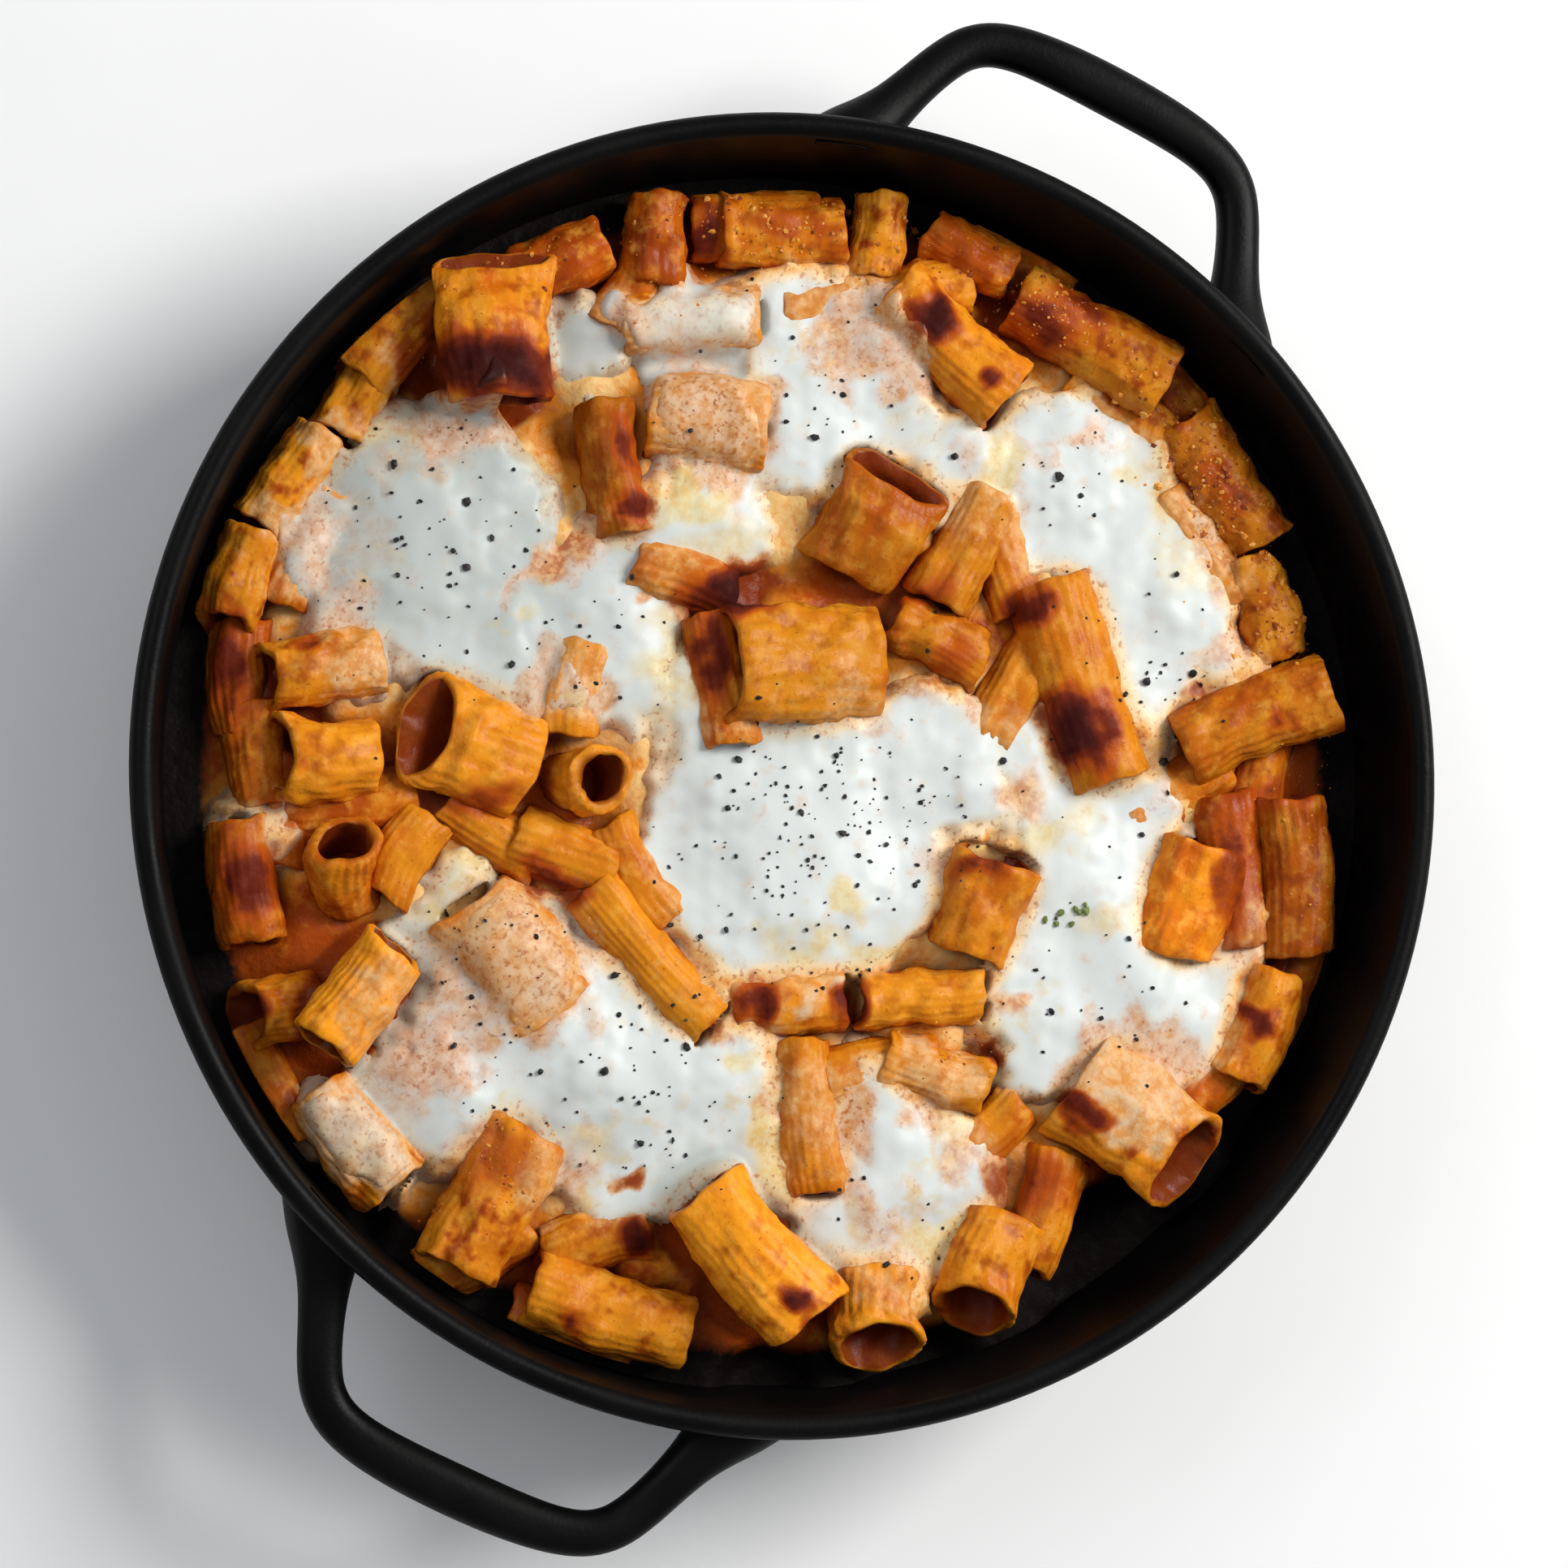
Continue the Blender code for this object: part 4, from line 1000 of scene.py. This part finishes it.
def build_cheese(food, finish):
    """The melted mozzarella as one draped sheet."""
    x, y = grid_axes()
    above = food.cheese - food.tops
    showing = (blurred(food.cheese > food.below - 0.4, 1.3) > 0.5) & food.inside
    keep = (blurred(showing, 1.2) > 0.02) & food.inside
    tube_near = blurred(above < 0, 5.5)
    over_tube = (food.tops > BED_LEVEL) & (above >= 0)
    thick = np.where(over_tube, smoothstep(0, 2.4, above), 1)
    white = smoothstep(-5, 9, food.supply) * (1 - 0.72 * smoothstep(0.04, 0.42, tube_near))
    white = np.maximum(white, 0.85 * smoothstep(0.8, 2, food.cover))
    # Painted shade: where the cheese lies lower than what is round it, towards the left, most at the far
    # left, and round the middle
    painted_shade = smoothstep(0, 3, food.around - food.cheese) + 0.4 * smoothstep(30, -70, x)
    painted_shade += 0.8 * smoothstep(-20, -55, x) * smoothstep(5, 35, y)
    numbers = {
        "white": np.minimum(white, 0.25 + 0.75 * blurred(thick, 1)),
        "painted_shade": painted_shade + 0.3 * smoothstep(40, 10, np.hypot(x, y)),
        "thin": over_tube * smoothstep(0.9, 0.1, above),
        "tan": food.tan,
        "char": food.char,
    }
    for stain, places in STAINS.items():
        numbers[stain] = spots(places, *wavy(x, y, 1.2, 5, 33), 1.6, 0.3)
    heights = np.maximum(food.cheese, LOWEST_CHEESE)
    piece = sheet_piece("mozzarella_sheet", heights, keep, 1, finish, "mozzarella", **numbers)
    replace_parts(piece, *sorted(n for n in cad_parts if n.startswith("mozzarella")))


# Scattered things


def grain_shape(local):
    """An angular crumb of unit size."""
    bm = bmesh.new()
    bmesh.ops.create_icosphere(bm, subdivisions=1, radius=0.5)
    verts = np.array([v.co for v in bm.verts])
    faces = np.array([[v.index for v in f.verts] for f in bm.faces])
    bm.free()
    verts *= 1 + local.uniform(-0.28, 0.28, (len(verts), 1))
    verts *= local.uniform(0.6, 1.15, 3)
    return verts, faces


def scatter(name, places, food, finish, slot, seed, sink):
    """Grains of the given (x, y, size) lying on the food, as one mesh."""
    local = np.random.default_rng(seed)
    grains, tones = [], []
    for x, y, size in places:
        verts, faces = grain_shape(local)
        turn = Matrix.Rotation(local.uniform(0, 2 * pi), 3, Vector(local.normal(size=3)).normalized())
        lift = look_up(food.surface, x, y) + size * (0.5 - sink) * 0.8
        grains.append({"points": verts @ np.array(turn).T * size + (x, y, lift), "faces": faces})
        tones.append(np.full(len(verts), local.uniform(0, 1)))
    make_piece(name, *joined(grains), finish, slot, False, tone=np.concatenate(tones))


def grain_size(least, most):
    """A size between these in mm, more often a small one."""
    return least + (most - least) * rng.uniform() ** 2


def pepper_places(food):
    """Cracked pepper: the larger grains as listed, the fine ones mostly where the cheese is."""
    places = list(PEPPERCORNS)
    for cx, cy, spread, count in PEPPERED:
        for _ in range(count):
            x, y = rng.normal(cx, spread * 0.6), rng.normal(cy, spread * 0.6)
            size = grain_size(0.45, 1.25)
            if np.hypot(x, y) < PEPPER_RADIUS and (look_up(food.supply, x, y) > 1.0 or rng.uniform() < 0.15):
                places.append((x, y, size))
    return places


def crumb_places():
    """Golden crumbs along the far and right walls, and those baked on in patches."""
    places = []
    for low, high, spread, least, most, count in CRUMBS:
        for _ in range(count):
            turn = radians(rng.uniform(low, high))
            reach = CRUMB_RADIUS - abs(rng.normal(0, spread))
            places.append((reach * cos(turn), reach * sin(turn), grain_size(least, most)))
    for cx, cy, half_x, half_y, heading, least, most, count in CRUST:
        c, s = cos(radians(heading)), sin(radians(heading))
        for _ in range(count):
            a, b = rng.normal(0, half_x * 0.6), rng.normal(0, half_y * 0.6)
            places.append((cx + a * c - b * s, cy + a * s + b * c, grain_size(least, most)))
    return [(x, y, size) for x, y, size in places if np.hypot(x, y) < CRUMB_RADIUS + 1]


def herb_places():
    """A pinch of dried herb."""
    x, y = HERB_PLACE
    return [(x + rng.normal(0, 3), y + rng.normal(0, 2), rng.uniform(0.8, 1.8)) for _ in range(9)]


# Stage

CAMERA_DISTANCE = 0.8
CAMERA_TILT = radians(12)
CAMERA_SIDE = radians(200)
FRAME_WIDTH = 0.308
# What the camera looks at, in the diner's frame
TARGET = (-0.0025, -0.0026, 0.048)
SENSOR = 36.0


def diner_vector(x, y, z):
    return Vector(TO_WORLD @ np.array([x, y, z]))


def build_camera():
    """Nearly overhead, a little to the diner's left."""
    back = diner_vector(
        sin(CAMERA_TILT) * cos(CAMERA_SIDE), sin(CAMERA_TILT) * sin(CAMERA_SIDE), cos(CAMERA_TILT)
    )
    target = diner_vector(*TARGET)
    data = bpy.data.cameras.new("camera")
    data.sensor_width = SENSOR
    data.lens = SENSOR / 2 / tan(atan(FRAME_WIDTH / 2 / CAMERA_DISTANCE))
    data.clip_start, data.clip_end = 0.01, 20
    camera = new_object("camera", data)
    right = diner_vector(0, 1, 0).cross(back).normalized()
    up = back.cross(right)
    turn = Matrix((right, up, back)).transposed()
    camera.matrix_world = Matrix.Translation(target + back * CAMERA_DISTANCE) @ turn.to_4x4()
    bpy.context.scene.camera = camera


def area_light(name, place, size, power, colour):
    """A square light aimed at the middle of the pan."""
    data = bpy.data.lights.new(name, "AREA")
    data.shape, data.size, data.energy, data.color = "SQUARE", size, power, colour
    light = new_object(name, data)
    light.location = place
    light.rotation_euler = (Vector((0, 0, 0.03)) - place).to_track_quat("-Z", "Y").to_euler()


def build_stage(finish):
    """A pale floor, a window-like soft light from the far right, a weaker fill and a pale room."""
    bpy.ops.mesh.primitive_plane_add(size=6)
    floor = bpy.context.active_object
    floor.name = "floor"
    floor.data.materials.append(finish)
    area_light("window", diner_vector(0.9, 0.4, 0.98), 0.6, 19.3, (1.0, 0.985, 0.96))
    area_light("fill", diner_vector(-1.0, 0.7, 1.3), 0.9, 5.8, (0.95, 0.97, 1.0))
    world = bpy.data.worlds.new("pale_room")
    world.use_nodes = True
    background = world.node_tree.nodes["Background"]
    background.inputs["Color"].default_value = (0.93, 0.96, 1.0, 1)
    background.inputs["Strength"].default_value = 0.345
    scene = bpy.context.scene
    scene.world = world
    scene.view_settings.view_transform = "Standard"
    scene.cycles.max_bounces = 4
    scene.cycles.adaptive_threshold = 0.1


def main():
    pasta = pasta_look()
    herb = mottled_look("dried_herb", 1.5, 2, (0.075, 0.13, 0.02), (0.22, 0.27, 0.07), 0.6)
    build_camera()
    build_stage(mottled_look("pale_floor", 40, 3, (0.86, 0.86, 0.86), (0.9, 0.9, 0.9), 0.75))
    build_pan(iron_look())
    food = Food(top_tubes(), sunk_tubes())
    build_rigatoni(food, pasta)
    build_sunk(food, pasta)
    build_bed(food, sauce_look())
    build_cheese(food, cheese_look())
    scatter("cracked_pepper", pepper_places(food), food, pepper_look(), "mozzarella", 7, 0.25)
    scatter("baked_crumbs", crumb_places(), food, crumb_look(), "sauced_pasta", 8, 0.75)
    scatter("herb_flecks", herb_places(), food, herb, "mozzarella", 9, 0.3)


main()
